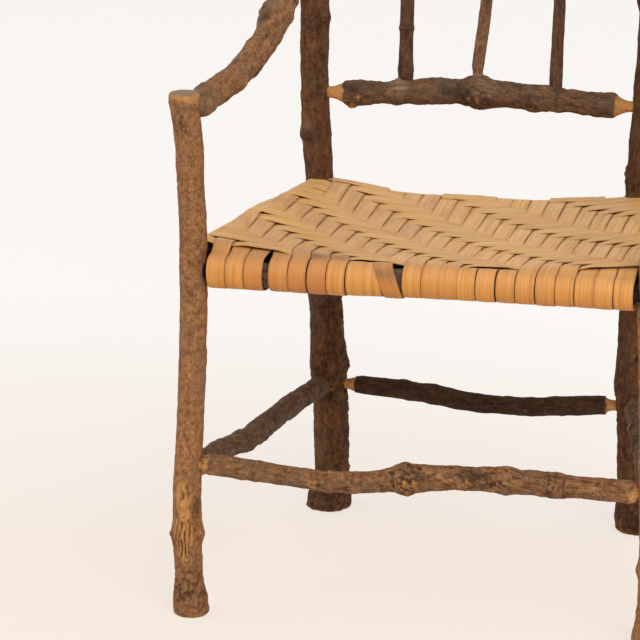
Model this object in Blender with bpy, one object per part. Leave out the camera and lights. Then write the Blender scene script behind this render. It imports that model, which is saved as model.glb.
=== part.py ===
"""Rustic armchair of bark-on branches with a seat woven from flat wooden splints.

Metres, +Z up, front towards -Y. The origin is on the floor, under the middle of the chair.
Every branch ends in shaved round tenons that stand in drilled holes.
"""
import math

import bmesh
import bpy
import numpy as np
from mathutils import Matrix, Vector

# Frame: widths, depths and heights, measured between the axes of the branches
FRONT_WIDTH = 0.544
REAR_WIDTH = 0.396
BACK_TOP_SPREAD = 0.016
FOOT_DEPTH = 0.414
REAR_POST_BOW = 0.0567
BACK_TOP_LEAN = 0.011
BACK_HEIGHT = 1.000
ARM_POST_HEIGHT = 0.626
FRONT_RAIL_HEIGHT = 0.4197
REAR_RAIL_HEIGHT = 0.4145
FRONT_STRETCHER_HEIGHT = 0.188
REAR_STRETCHER_HEIGHT = 0.173
SIDE_STRETCHER_REAR_HEIGHT = 0.174
ARM_END_DROP = 0.018
ARM_REAR_HEIGHT = 0.742
LOWER_CROSSPIECE_HEIGHT = 0.5515
UPPER_CROSSPIECE_DROP = 0.075
SPINDLE_COUNT = 3
SPINDLE_PITCH = 0.0925

# Thickness of the branches
FRONT_POST_RADIUS = 0.0162
REAR_POST_RADIUS = 0.0178
ARM_RADIUS = 0.0160
FRONT_RAIL_RADIUS = 0.0182
REAR_RAIL_RADIUS = 0.0150
SIDE_RAIL_RADIUS = 0.0125
FRONT_STRETCHER_RADIUS = 0.0130
SIDE_STRETCHER_RADIUS = 0.0135
REAR_STRETCHER_RADIUS = 0.0125
CROSSPIECE_RADIUS = 0.0150
SPINDLE_RADIUS = 0.0072

# Tenons and their holes
RAIL_TENON_RADIUS = 0.0075
STRETCHER_TENON_RADIUS = 0.0070
ARM_TENON_RADIUS = 0.0085
CROSSPIECE_TENON_RADIUS = 0.0075
SPINDLE_TENON_RADIUS = 0.0050
TENON_STOP = 0.0020
SPINDLE_TENON_STOP = -0.0040
TENON_REVEAL = 0.0015
LONG_SHAVE = 0.0180
SHORT_SHAVE = 0.0070
HOLE_WALL = 0.0010
FIT_GAP = 0.0003
HOLE_SIDES = 12

# Woven seat
SPLINT_THICKNESS = 0.0012
WARP_PITCH = 0.0223
WEFT_PITCH = 0.0203
SPLINT_SPACING = 0.0018
SPLINT_END_GAP = 0.0010
WRAP_GAP = 0.0005
WEAVE_GAP = 0.0006
POST_MARGIN = 0.0015
SEAT_SAG = 0.015
SIDE_SLOPE_POWER = 2.2
TWILL_REPEAT = 6
TWILL_OVER = 3

# Mesh fineness
POST_SIDES = 12
BRANCH_SIDES = 10
SPINDLE_SIDES = 8
RING_SPACING = 0.042
MIN_RING_SPACING = 0.006
SPAN_SAMPLES = 16
SHARP_ANGLE = math.radians(50)
WRAP_STEPS = 5
WARPS_PER_FACET = 3
WEFTS_PER_FACET = 2

# Colours and finishes: red, green, blue, roughness
BARK_BROWN = (0.19, 0.105, 0.055, 0.85)
BARK_DARK = (0.11, 0.065, 0.040, 0.88)
BARK_GREY = (0.17, 0.115, 0.075, 0.88)
BARK_TAN = (0.24, 0.150, 0.085, 0.82)
SPLINT_HONEY = (0.60, 0.36, 0.15, 0.60)
SPLINT_STRAW = (0.62, 0.41, 0.19, 0.60)

UP = Vector((0.0, 0.0, 1.0))
RIGHT = Vector((1.0, 0.0, 0.0))
SIDES = (("left", -1), ("right", 1))


def hole_radius(tenon_radius):
    """A hole's corner radius, so that its flat sides clear the tenon by the fit gap."""
    return (tenon_radius + FIT_GAP) / math.cos(math.pi / HOLE_SIDES)


# Two branches that meet in one post enter it one above the other, clear of each other's hole
RAIL_STAGGER = 2 * hole_radius(RAIL_TENON_RADIUS) + HOLE_WALL
STRETCHER_STAGGER = 2 * hole_radius(STRETCHER_TENON_RADIUS) + HOLE_WALL
# In the thicker rear posts the stretchers meet at one height, and stop short of each other
REAR_STRETCHER_STOP = hole_radius(STRETCHER_TENON_RADIUS) + FIT_GAP + HOLE_WALL
EVEN_STOPS = (TENON_STOP, TENON_STOP)
SIDE_RAIL_HEIGHT = FRONT_RAIL_HEIGHT + RAIL_STAGGER


def clear_scene():
    for old in list(bpy.data.objects):
        bpy.data.objects.remove(old, do_unlink=True)


def make_material(name, finish):
    material = bpy.data.materials.new(name)
    material.use_nodes = True
    shader = material.node_tree.nodes["Principled BSDF"]
    shader.inputs["Base Color"].default_value = (*finish[:3], 1.0)
    shader.inputs["Roughness"].default_value = finish[3]
    shader.inputs["Metallic"].default_value = 0.0
    return material


def add_object(name, mesh_data, finish):
    mesh = bpy.data.meshes.new(name)
    bmesh.ops.recalc_face_normals(mesh_data, faces=mesh_data.faces)
    mesh_data.to_mesh(mesh)
    mesh_data.free()
    mesh.materials.append(make_material(name, finish))
    piece = bpy.data.objects.new(name, mesh)
    bpy.context.scene.collection.objects.link(piece)
    piece.parent = chair
    return piece


def smooth_path(controls):
    """Points close together along a smooth curve through the control points."""
    padded = [2 * controls[0] - controls[1], *controls, 2 * controls[-1] - controls[-2]]
    points = []
    for before, start, end, after in zip(padded, padded[1:], padded[2:], padded[3:]):
        for step in range(SPAN_SAMPLES):
            t = step / SPAN_SAMPLES
            bend = (2 * before - 5 * start + 4 * end - after) * t * t
            twist = (3 * start - before - 3 * end + after) * t ** 3
            points.append(start + 0.5 * ((end - before) * t + bend + twist))
    points.append(controls[-1])
    return np.array([tuple(point) for point in points])


def bent_line(start, end, bends):
    """The start, the end and the points between them, each moved off the straight line."""
    between = [start.lerp(end, share) + Vector(offset) for share, offset in bends]
    return [start, *between, end]


def lengths_along(path):
    steps = np.linalg.norm(np.diff(path, axis=0), axis=1)
    return np.concatenate([[0.0], np.cumsum(steps)])


def point_along(path, distance):
    run = lengths_along(path)
    return Vector([np.interp(distance, run, path[:, axis]) for axis in range(3)])


def axis_at_height(path, height):
    return Vector([np.interp(height, path[:, 2], path[:, axis]) for axis in range(3)])


def radius_at(profile, radius, share):
    """The radius at a share of the length, from (share, factor) pairs."""
    shares, factors = zip(*profile)
    return radius * float(np.interp(share, shares, factors))


def ring_stations(length, profile, knots):
    """Distances along a branch where it gets a ring of points."""
    count = max(2, round(length / RING_SPACING))
    wanted = [length * step / count for step in range(count + 1)]
    for share, _angle, _height, reach in knots:
        wanted += [share * length - reach, share * length, share * length + reach]
    wanted += [share * length for share, _factor in profile]
    inside = sorted(place for place in wanted if MIN_RING_SPACING < place < length - MIN_RING_SPACING)
    kept = [0.0]
    for place in inside:
        if place - kept[-1] >= MIN_RING_SPACING:
            kept.append(place)
    return [*kept, length]


def knot_height(knots, length, distance, angle):
    """How far the knots lift the bark at one point of a ring."""
    lift = 0.0
    for share, knot_angle, height, reach in knots:
        along = (distance - share * length) / reach
        around = math.cos(angle - math.radians(knot_angle))
        if abs(along) < 1.0 and around > 0.0:
            lift += height * (1.0 - along * along) * around ** 2
    return lift


def add_ring(mesh_data, centre, first, second, radii):
    verts = []
    for step, radius in enumerate(radii):
        angle = 2 * math.pi * step / len(radii)
        spot = centre + radius * (math.cos(angle) * first + math.sin(angle) * second)
        verts.append(mesh_data.verts.new(spot))
    return verts


def join_rings(mesh_data, rings):
    for ring, following in zip(rings, rings[1:]):
        for step in range(len(ring)):
            nxt = (step + 1) % len(ring)
            mesh_data.faces.new((ring[step], ring[nxt], following[nxt], following[step]))
    mesh_data.faces.new(list(reversed(rings[0])))
    mesh_data.faces.new(rings[-1])


def branch(name, path, shape, finish, tenons=(None, None), flat_ends=False):
    """A round branch along a path, with knots, and with a tenon on each end that has one."""
    sides, reference = shape["sides"], shape["reference"]
    knots = shape.get("knots", [])
    length = float(lengths_along(path)[-1])
    mesh_data = bmesh.new()
    rings = []
    slack = length / (len(path) * 2)
    for distance in ring_stations(length, shape["profile"], knots):
        centre = point_along(path, distance)
        ahead = point_along(path, min(length, distance + slack))
        behind = point_along(path, max(0.0, distance - slack))
        direction = (ahead - behind).normalized()
        if flat_ends and distance in (0.0, length):
            direction = UP
        first = (reference - reference.dot(direction) * direction).normalized()
        second = direction.cross(first)
        base = radius_at(shape["profile"], shape["radius"], distance / length)
        radii = []
        for step in range(sides):
            angle = 2 * math.pi * step / sides
            radii.append(base + knot_height(knots, length, distance, angle))
        rings.append(add_ring(mesh_data, centre, first, second, radii))
    for tenon, at_start in ((tenons[0], True), (tenons[1], False)):
        if tenon is None:
            continue
        direction = tenon["direction"] if at_start else -tenon["direction"]
        first = (reference - reference.dot(direction) * direction).normalized()
        second = direction.cross(first)
        for spot in (tenon["neck"], tenon["tip"]):
            ring = add_ring(mesh_data, spot, first, second, [tenon["radius"]] * sides)
            rings.insert(0 if at_start else len(rings), ring)
    join_rings(mesh_data, rings)
    piece = add_object(name, mesh_data, finish)
    piece.data.shade_smooth()
    piece.data.set_sharp_from_angle(angle=SHARP_ANGLE)
    return piece


def tenon_end(seat, towards, seat_radius, radius, shave, grain, stop):
    """Where a tenon's tip, neck and shoulder are, on the line from the seat's axis to a point.

    Grain is the direction of the drilled piece. A tenon that enters it aslant has its neck
    further out, where the whole of it is clear of the drilled piece.
    """
    direction = (towards - seat).normalized()
    slant = abs(direction.dot(grain))
    square = math.sqrt(1.0 - slant * slant)
    neck = (seat_radius + TENON_REVEAL + radius * slant) / square
    return {
        "seat": seat,
        "direction": direction,
        "radius": radius,
        "stop": stop,
        "neck_distance": neck,
        "tip": seat + stop * direction,
        "neck": seat + neck * direction,
        "shoulder": seat + (neck + shave) * direction,
    }


def drill(piece, tenon):
    """Cuts the hole that a tenon stands in, with the fit gap all round and at its end."""
    depth = 2 * tenon["neck_distance"] - tenon["stop"] + FIT_GAP
    centre = tenon["seat"] + (tenon["stop"] - FIT_GAP + depth / 2) * tenon["direction"]
    turn = tenon["direction"].to_track_quat("Z", "Y").to_matrix().to_4x4()
    mesh_data = bmesh.new()
    bmesh.ops.create_cone(
        mesh_data,
        cap_ends=True,
        segments=HOLE_SIDES,
        radius1=hole_radius(tenon["radius"]),
        radius2=hole_radius(tenon["radius"]),
        depth=depth,
        matrix=Matrix.Translation(centre) @ turn,
    )
    mesh = bpy.data.meshes.new(piece.name + "_hole")
    mesh_data.to_mesh(mesh)
    mesh_data.free()
    cutter = bpy.data.objects.new(piece.name + "_hole", mesh)
    bpy.context.scene.collection.objects.link(cutter)
    cutter.parent = chair
    cutter.hide_render = True
    cutter.display_type = "WIRE"
    cut = piece.modifiers.new("hole", "BOOLEAN")
    cut.operation = "DIFFERENCE"
    cut.solver = "EXACT"
    cut.object = cutter


def crossing_branch(name, seats, bends, shape, finish, tenon_radius, shaves, stops=EVEN_STOPS):
    """A branch between two drilled pieces. A seat is (piece, axis point, radius of the piece)."""
    (start_piece, start, start_radius), (end_piece, end, end_radius) = seats
    controls = bent_line(start, end, bends)
    tenons = (
        tenon_end(start, controls[1], start_radius, tenon_radius, shaves[0], UP, stops[0]),
        tenon_end(end, controls[-2], end_radius, tenon_radius, shaves[1], UP, stops[1]),
    )
    path = smooth_path([tenons[0]["shoulder"], *controls[1:-1], tenons[1]["shoulder"]])
    piece = branch(name, path, shape, finish, tenons)
    drill(start_piece, tenons[0])
    drill(end_piece, tenons[1])
    return piece, path


# Posts

FRONT_POST_PROFILE = [
    (0.0, 1.26), (0.03, 1.24), (0.08, 1.02), (0.135, 1.03), (0.157, 1.17), (0.185, 1.02), (0.5, 0.98),
    (0.9, 0.98), (0.965, 1.04), (0.985, 1.10), (1.0, 1.08),
]
REAR_POST_PROFILE = [
    (0.0, 1.52), (0.02, 1.58), (0.06, 1.24), (0.12, 1.20), (0.17, 1.22), (0.2, 1.36), (0.24, 1.18),
    (0.32, 1.12), (0.42, 1.02), (0.5, 0.98), (0.8, 0.96), (1.0, 0.94),
]
# Height of each bend, step sideways there, and how much of the rear posts' bow it takes
POST_BENDS = {
    ("front", "left"): [
        (0.125, -0.0035, 0.0), (0.225, 0.0017, 0.0), (0.313, 0.0056, 0.0), (0.426, 0.0083, 0.0),
        (0.538, 0.005, 0.0),
    ],
    ("front", "right"): [
        (0.125, 0.003, 0.0), (0.25, -0.002, 0.0), (0.388, -0.006, 0.0), (0.526, -0.004, 0.0),
    ],
    ("rear", "left"): [
        (0.1, 0.007, 0.26), (0.22, 0.008, 0.58), (0.43, 0.006, 1.0), (0.55, 0.0015, 0.98),
        (0.67, 0.001, 0.86), (0.85, -0.001, 0.52),
    ],
    ("rear", "right"): [
        (0.1, -0.004, 0.26), (0.22, -0.007, 0.58), (0.43, -0.006, 1.0), (0.55, -0.003, 0.98),
        (0.67, 0.0, 0.86), (0.85, 0.003, 0.52),
    ],
}
# Share of the length, angle round the branch, height and half length of each knot
POST_KNOTS = {
    ("front", "left"): [(0.675, 180, 0.0035, 0.016), (0.157, 300, 0.002, 0.018)],
    ("front", "right"): [(0.52, 20, 0.0035, 0.016), (0.30, 250, 0.003, 0.016)],
    ("rear", "left"): [(0.505, 180, 0.0035, 0.014), (0.64, 10, 0.004, 0.014), (0.015, 190, 0.006, 0.030)],
    ("rear", "right"): [(0.47, 160, 0.0035, 0.014), (0.68, 200, 0.004, 0.014), (0.015, 330, 0.006, 0.030)],
}


def make_post(row, side, sign):
    if row == "front":
        foot = Vector((sign * FRONT_WIDTH / 2, 0.0, 0.0))
        top = foot + Vector((0.0, 0.0, ARM_POST_HEIGHT))
        radius, profile, finish = FRONT_POST_RADIUS, FRONT_POST_PROFILE, BARK_BROWN
    else:
        foot = Vector((sign * REAR_WIDTH / 2, FOOT_DEPTH, 0.0))
        top = foot + Vector((sign * BACK_TOP_SPREAD, BACK_TOP_LEAN, BACK_HEIGHT))
        radius, profile, finish = REAR_POST_RADIUS, REAR_POST_PROFILE, BARK_DARK
    bends = []
    for height, across, bow in POST_BENDS[row, side]:
        bends.append((height / top.z, (across, -bow * REAR_POST_BOW, 0.0)))
    path = smooth_path(bent_line(foot, top, bends))
    shape = {
        "radius": radius,
        "profile": profile,
        "sides": POST_SIDES,
        "reference": RIGHT,
        "knots": POST_KNOTS[row, side],
    }
    piece = branch(f"{row}_{side}_post", path, shape, finish, flat_ends=True)
    return {"piece": piece, "path": path, "radius": radius, "profile": profile, "height": top.z}


def post_seat(post, height):
    """The place on a post's axis where a branch enters it, and the post's radius there."""
    radius = radius_at(post["profile"], post["radius"], height / post["height"])
    return post["piece"], axis_at_height(post["path"], height), radius


# Branches between the posts

STEADY = [(0.0, 1.0), (1.0, 1.0)]
FULLER_MIDDLE = [(0.0, 0.96), (0.5, 1.0), (1.0, 0.96)]
STRAIGHT = [(0.5, (0.0, 0.0, 0.0))]


def make_seat_rails(posts):
    rails = {}
    shaves = (SHORT_SHAVE, SHORT_SHAVE)
    sizes = {
        "front": (FRONT_RAIL_HEIGHT, FRONT_RAIL_RADIUS),
        "rear": (REAR_RAIL_HEIGHT, REAR_RAIL_RADIUS),
    }
    for row, (height, radius) in sizes.items():
        seats = [post_seat(posts[row, side], height) for side, _sign in SIDES]
        shape = {"radius": radius, "profile": STEADY, "sides": BRANCH_SIDES, "reference": UP}
        name = f"{row}_seat_rail"
        crossing_branch(name, seats, STRAIGHT, shape, BARK_GREY, RAIL_TENON_RADIUS, shaves)
        rails[row] = seats
    for side, _sign in SIDES:
        seats = [post_seat(posts[row, side], SIDE_RAIL_HEIGHT) for row in ("front", "rear")]
        shape = {"radius": SIDE_RAIL_RADIUS, "profile": STEADY, "sides": BRANCH_SIDES, "reference": UP}
        name = f"{side}_seat_rail"
        crossing_branch(name, seats, STRAIGHT, shape, BARK_GREY, RAIL_TENON_RADIUS, shaves)
        rails[side] = seats
    return rails


def make_stretchers(posts):
    shaves = (SHORT_SHAVE, SHORT_SHAVE)
    front = {
        "radius": FRONT_STRETCHER_RADIUS,
        "profile": [(0.0, 0.95), (0.4, 0.95), (0.44, 1.05), (0.475, 1.40), (0.51, 1.12), (0.66, 1.08),
                    (0.71, 1.30), (0.75, 1.08), (1.0, 1.0)],
        "sides": BRANCH_SIDES,
        "reference": UP,
        "knots": [(0.475, 40, 0.003, 0.014), (0.71, 200, 0.003, 0.014)],
    }
    front_bends = [
        (0.13, (0.0, 0.0, -0.0055)), (0.23, (0.0, 0.0, -0.011)), (0.36, (0.0, 0.0, -0.013)),
        (0.47, (0.0, 0.0, -0.004)), (0.6, (0.0, 0.0, 0.0035)), (0.8, (0.0, 0.0, 0.003)),
    ]
    seats = [post_seat(posts["front", side], FRONT_STRETCHER_HEIGHT) for side, _sign in SIDES]
    crossing_branch("front_stretcher", seats, front_bends, front, BARK_TAN, STRETCHER_TENON_RADIUS, shaves)

    rear = {
        "radius": REAR_STRETCHER_RADIUS,
        "profile": [(0.0, 0.90), (0.3, 1.0), (0.8, 1.04), (1.0, 0.94)],
        "sides": BRANCH_SIDES,
        "reference": UP,
        "knots": [(0.42, 0, 0.003, 0.014)],
    }
    rear_bends = [
        (0.13, (0.0, 0.0, 0.002)), (0.3, (0.0, 0.0, -0.001)), (0.45, (0.0, 0.0, -0.012)),
        (0.64, (0.0, 0.0, -0.015)), (0.85, (0.0, 0.0, -0.008)),
    ]
    seats = [post_seat(posts["rear", side], REAR_STRETCHER_HEIGHT) for side, _sign in SIDES]
    crossing_branch(
        "rear_stretcher", seats, rear_bends, rear, BARK_DARK, STRETCHER_TENON_RADIUS,
        (LONG_SHAVE, LONG_SHAVE), (REAR_STRETCHER_STOP, REAR_STRETCHER_STOP),
    )

    side_bends = {
        "left": [(0.22, (0.0, 0.0, 0.003)), (0.4, (0.0, 0.0, -0.005)), (0.65, (0.0, 0.0, 0.001)),
                 (0.83, (0.0, 0.0, 0.003))],
        "right": [(0.25, (0.0, 0.0, -0.003)), (0.5, (0.0, 0.0, 0.005)), (0.75, (0.0, 0.0, 0.004))],
    }
    side_knots = {
        "left": [(0.46, 150, 0.003, 0.012), (0.74, 80, 0.003, 0.012)],
        "right": [(0.35, 200, 0.003, 0.012), (0.66, 270, 0.003, 0.012)],
    }
    for side, _sign in SIDES:
        shape = {
            "radius": SIDE_STRETCHER_RADIUS,
            "profile": FULLER_MIDDLE,
            "sides": BRANCH_SIDES,
            "reference": UP,
            "knots": side_knots[side],
        }
        seats = (
            post_seat(posts["front", side], FRONT_STRETCHER_HEIGHT - STRETCHER_STAGGER),
            post_seat(posts["rear", side], SIDE_STRETCHER_REAR_HEIGHT),
        )
        crossing_branch(
            f"{side}_side_stretcher", seats, side_bends[side], shape, BARK_GREY, STRETCHER_TENON_RADIUS,
            shaves, (TENON_STOP, REAR_STRETCHER_STOP),
        )


def make_arms(posts):
    lifts = {
        "left": [(0.26, -0.030, 0.003), (0.44, -0.039, 0.005), (0.58, -0.039, 0.006), (0.72, -0.024, 0.001),
                 (0.85, -0.012, 0.001)],
        "right": [(0.25, -0.026, 0.003), (0.45, -0.035, 0.004), (0.62, -0.032, 0.002), (0.80, -0.017, 0.001)],
    }
    knots = {
        "left": [(0.47, 300, 0.003, 0.014), (0.62, 200, 0.004, 0.016), (0.80, 60, 0.004, 0.016)],
        "right": [(0.38, 100, 0.003, 0.014), (0.66, 150, 0.004, 0.016)],
    }
    for side, _sign in SIDES:
        shape = {
            "radius": ARM_RADIUS,
            "profile": [(0.0, 0.96), (0.3, 0.98), (0.55, 1.08), (0.75, 1.10), (1.0, 1.0)],
            "sides": BRANCH_SIDES,
            "reference": UP,
            "knots": knots[side],
        }
        seats = (
            post_seat(posts["front", side], ARM_POST_HEIGHT - ARM_END_DROP),
            post_seat(posts["rear", side], ARM_REAR_HEIGHT),
        )
        bends = [(share, (across, 0.0, lift)) for share, lift, across in lifts[side]]
        ends = (SHORT_SHAVE, SHORT_SHAVE)
        crossing_branch(f"{side}_arm", seats, bends, shape, BARK_BROWN, ARM_TENON_RADIUS, ends)


def make_back(posts):
    bars = {}
    looks = {
        "lower": {
            "height": LOWER_CROSSPIECE_HEIGHT,
            "profile": [(0.0, 0.94), (0.2, 0.98), (0.43, 1.06), (0.5, 1.32), (0.56, 1.08), (1.0, 0.96)],
            "bends": [(0.25, (0.0, 0.0, 0.005)), (0.5, (0.0, 0.0, 0.010)), (0.75, (0.0, 0.0, 0.005))],
            "knots": [(0.505, 90, 0.002, 0.014)],
        },
        "upper": {
            "height": BACK_HEIGHT - UPPER_CROSSPIECE_DROP,
            "profile": [(0.0, 0.92), (0.3, 1.02), (0.36, 1.20), (0.42, 1.02), (1.0, 0.94)],
            "bends": [(0.25, (0.0, 0.002, 0.010)), (0.5, (0.0, 0.004, 0.014)), (0.75, (0.0, 0.002, 0.009))],
            "knots": [(0.36, 60, 0.003, 0.014)],
        },
    }
    for place, look in looks.items():
        shape = {
            "radius": CROSSPIECE_RADIUS,
            "profile": look["profile"],
            "sides": BRANCH_SIDES,
            "reference": UP,
            "knots": look["knots"],
        }
        seats = [post_seat(posts["rear", side], look["height"]) for side, _sign in SIDES]
        ends = (LONG_SHAVE, LONG_SHAVE)
        name = f"back_{place}_crosspiece"
        piece, path = crossing_branch(
            name, seats, look["bends"], shape, BARK_DARK, CROSSPIECE_TENON_RADIUS, ends
        )
        bars[place] = {"piece": piece, "path": path, "profile": look["profile"]}
    return bars


def bar_seat(bar, across):
    """The place on a crosspiece's axis at one distance from the middle, and its radius there."""
    path = bar["path"]
    spot = Vector([np.interp(across, path[:, 0], path[:, axis]) for axis in range(3)])
    share = (across - path[0, 0]) / (path[-1, 0] - path[0, 0])
    return bar["piece"], spot, radius_at(bar["profile"], CROSSPIECE_RADIUS, share)


def make_spindles(bars):
    leans = [0.004, 0.014, -0.005]
    bows = [-0.002, 0.001, 0.003]
    shape = {
        "radius": SPINDLE_RADIUS,
        "profile": [(0.0, 1.20), (0.08, 1.08), (0.35, 1.0), (0.40, 1.15), (0.45, 0.98), (1.0, 0.92)],
        "sides": SPINDLE_SIDES,
        "reference": RIGHT,
    }
    tenon_sizes = (SPINDLE_TENON_RADIUS, SHORT_SHAVE, RIGHT, SPINDLE_TENON_STOP)
    for index in range(SPINDLE_COUNT):
        across = (index - (SPINDLE_COUNT - 1) / 2) * SPINDLE_PITCH
        lower, foot, lower_radius = bar_seat(bars["lower"], across)
        upper, head, upper_radius = bar_seat(bars["upper"], across + leans[index % len(leans)])
        bow = bows[index % len(bows)]
        bends = [(0.35, (bow, 0.0, 0.0)), (0.7, (-bow / 2, 0.0, 0.0))]
        controls = bent_line(foot, head, bends)
        ends = (
            tenon_end(foot, controls[1], lower_radius, *tenon_sizes),
            tenon_end(head, controls[-2], upper_radius, *tenon_sizes),
        )
        path = smooth_path([ends[0]["shoulder"], *controls[1:-1], ends[1]["shoulder"]])
        branch(f"back_spindle_{index + 1}", path, shape, BARK_DARK, ends)
        drill(lower, ends[0])
        drill(upper, ends[1])


# Woven seat

def weft_is_over(warp, weft):
    """A twill: each weft goes over some warps and under the rest, one warp further on each row."""
    return (warp - 1 + weft) % TWILL_REPEAT < TWILL_OVER


def around_rail(top, bottom, radius):
    """Corners round the outside of a rail, from the line through top to the line through bottom.

    Points are (distance inwards from the rail's axis, height above it). The corners' straight
    sides touch the circle, so a strip that follows them stays clear of the rail.
    """
    start = math.atan2(top[1], top[0]) + math.acos(radius / math.hypot(*top))
    end = math.atan2(bottom[1], bottom[0]) - math.acos(radius / math.hypot(*bottom)) + 2 * math.pi
    step = (end - start) / WRAP_STEPS
    corner = radius / math.cos(step / 2)
    angles = [start + (index + 0.5) * step for index in range(WRAP_STEPS)]
    return [(corner * math.cos(angle), corner * math.sin(angle)) for angle in angles]


class Seat:
    """Where the rails are, where the strips lie, and how high the weaving is at each place."""

    def __init__(self, rails):
        self.front_y, self.front_z = rails["front"][0][1].yz
        self.rear_y, self.rear_z = rails["rear"][0][1].yz
        self.side_ends = {side: (rails[side][0][1], rails[side][1][1]) for side, _sign in SIDES}
        self.lay_warps(self.room_between(rails["front"]), self.room_between(rails["rear"]))
        self.first_y = self.front_y + max(rails["left"][0][2], FRONT_RAIL_RADIUS) + POST_MARGIN
        self.last_y = self.rear_y - max(rails["left"][1][2], REAR_RAIL_RADIUS) - POST_MARGIN
        self.wefts = round((self.last_y - self.first_y) / WEFT_PITCH)
        self.weft_step = (self.last_y - self.first_y) / self.wefts
        self.x_breaks = self.breaks(self.warps, WARPS_PER_FACET, self.left_x, self.warp_step)
        self.y_breaks = self.breaks(self.wefts, WEFTS_PER_FACET, self.first_y, self.weft_step)
        self.inner_room = SIDE_RAIL_RADIUS + WRAP_GAP + SPLINT_THICKNESS + 2 * FIT_GAP

    @staticmethod
    def room_between(rail):
        """Where the strips round a rail may start and end, between its two posts."""
        (_left_post, left, left_radius), (_right_post, right, right_radius) = rail
        return left.x + left_radius + POST_MARGIN, right.x - right_radius - POST_MARGIN

    def lay_warps(self, front, rear):
        """The long warps fill the rear rail, and shorter ones fill the wider front on each side."""
        long_count = round((rear[1] - rear[0]) / WARP_PITCH)
        self.warp_step = (rear[1] - rear[0]) / long_count
        left_count = int((rear[0] - front[0] + POST_MARGIN) / self.warp_step)
        right_count = int((front[1] - rear[1] + POST_MARGIN) / self.warp_step)
        self.left_x = rear[0] - left_count * self.warp_step
        self.warps = left_count + long_count + right_count
        self.long_warps = range(left_count, left_count + long_count)

    @staticmethod
    def breaks(count, group, start, step):
        """Lines between strips where the weaving may change slope."""
        cells = max(2, round(count / group))
        return [start + step * round(count * cell / cells) for cell in range(cells + 1)]

    def side_x(self, side, y):
        front, rear = self.side_ends[side]
        return front.x + (rear.x - front.x) * (y - front.y) / (rear.y - front.y)

    def smooth_height(self, x, y):
        """Middle of the warps' thickness on top: level at the rails, sagging between them."""
        share = (y - self.front_y) / (self.rear_y - self.front_y)
        lift = WRAP_GAP + SPLINT_THICKNESS / 2
        front = self.front_z + FRONT_RAIL_RADIUS + lift
        rear = self.rear_z + REAR_RAIL_RADIUS + lift
        base = front + (rear - front) * share
        side = SIDE_RAIL_HEIGHT + SIDE_RAIL_RADIUS + lift
        half = self.side_x("right", y) if x > 0 else -self.side_x("left", y)
        slope = min(1.0, abs(x) / half) ** SIDE_SLOPE_POWER
        sag = SEAT_SAG * 4 * share * (1 - share) * (1 - slope)
        return base + (side - base) * slope - sag

    def height(self, x, y):
        """The same height, flat between the break lines, so that strips keep their gap."""
        column = min(max(np.searchsorted(self.x_breaks, x), 1), len(self.x_breaks) - 1)
        row = min(max(np.searchsorted(self.y_breaks, y), 1), len(self.y_breaks) - 1)
        x0, x1 = self.x_breaks[column - 1], self.x_breaks[column]
        y0, y1 = self.y_breaks[row - 1], self.y_breaks[row]
        u, v = (x - x0) / (x1 - x0), (y - y0) / (y1 - y0)
        near = self.smooth_height(x0, y0) * (1 - u) + self.smooth_height(x1, y0) * u
        far = self.smooth_height(x0, y1) * (1 - u) + self.smooth_height(x1, y1) * u
        return near * (1 - v) + far * v

    def under_height(self, y):
        """Middle of the warps' thickness below: straight from rail to rail."""
        share = (y - self.front_y) / (self.rear_y - self.front_y)
        drop = WRAP_GAP + SPLINT_THICKNESS / 2
        front = self.front_z - FRONT_RAIL_RADIUS - drop
        rear = self.rear_z - REAR_RAIL_RADIUS - drop
        return front + (rear - front) * share

    def warp_edges(self, index):
        start = self.left_x + index * self.warp_step
        return start + SPLINT_SPACING / 2, start + self.warp_step - SPLINT_SPACING / 2

    def weft_edges(self, index):
        start = self.first_y + index * self.weft_step
        return start + SPLINT_SPACING / 2, start + self.weft_step - SPLINT_SPACING / 2

    def weft_span(self, index):
        """Where a weft starts and ends its weaving, clear of the wrapped side rails."""
        edges = self.weft_edges(index)
        start = max(self.side_x("left", y) for y in edges) + self.inner_room
        end = min(self.side_x("right", y) for y in edges) - self.inner_room
        return start, end

    def rows_crossed(self, index):
        """How many wefts a warp crosses, from the front, before a side rail stops it."""
        if index in self.long_warps:
            return self.wefts
        near, far = self.warp_edges(index)
        for row in range(self.wefts):
            start, end = self.weft_span(row)
            if near < start or far > end:
                return row
        return self.wefts - 1


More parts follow.
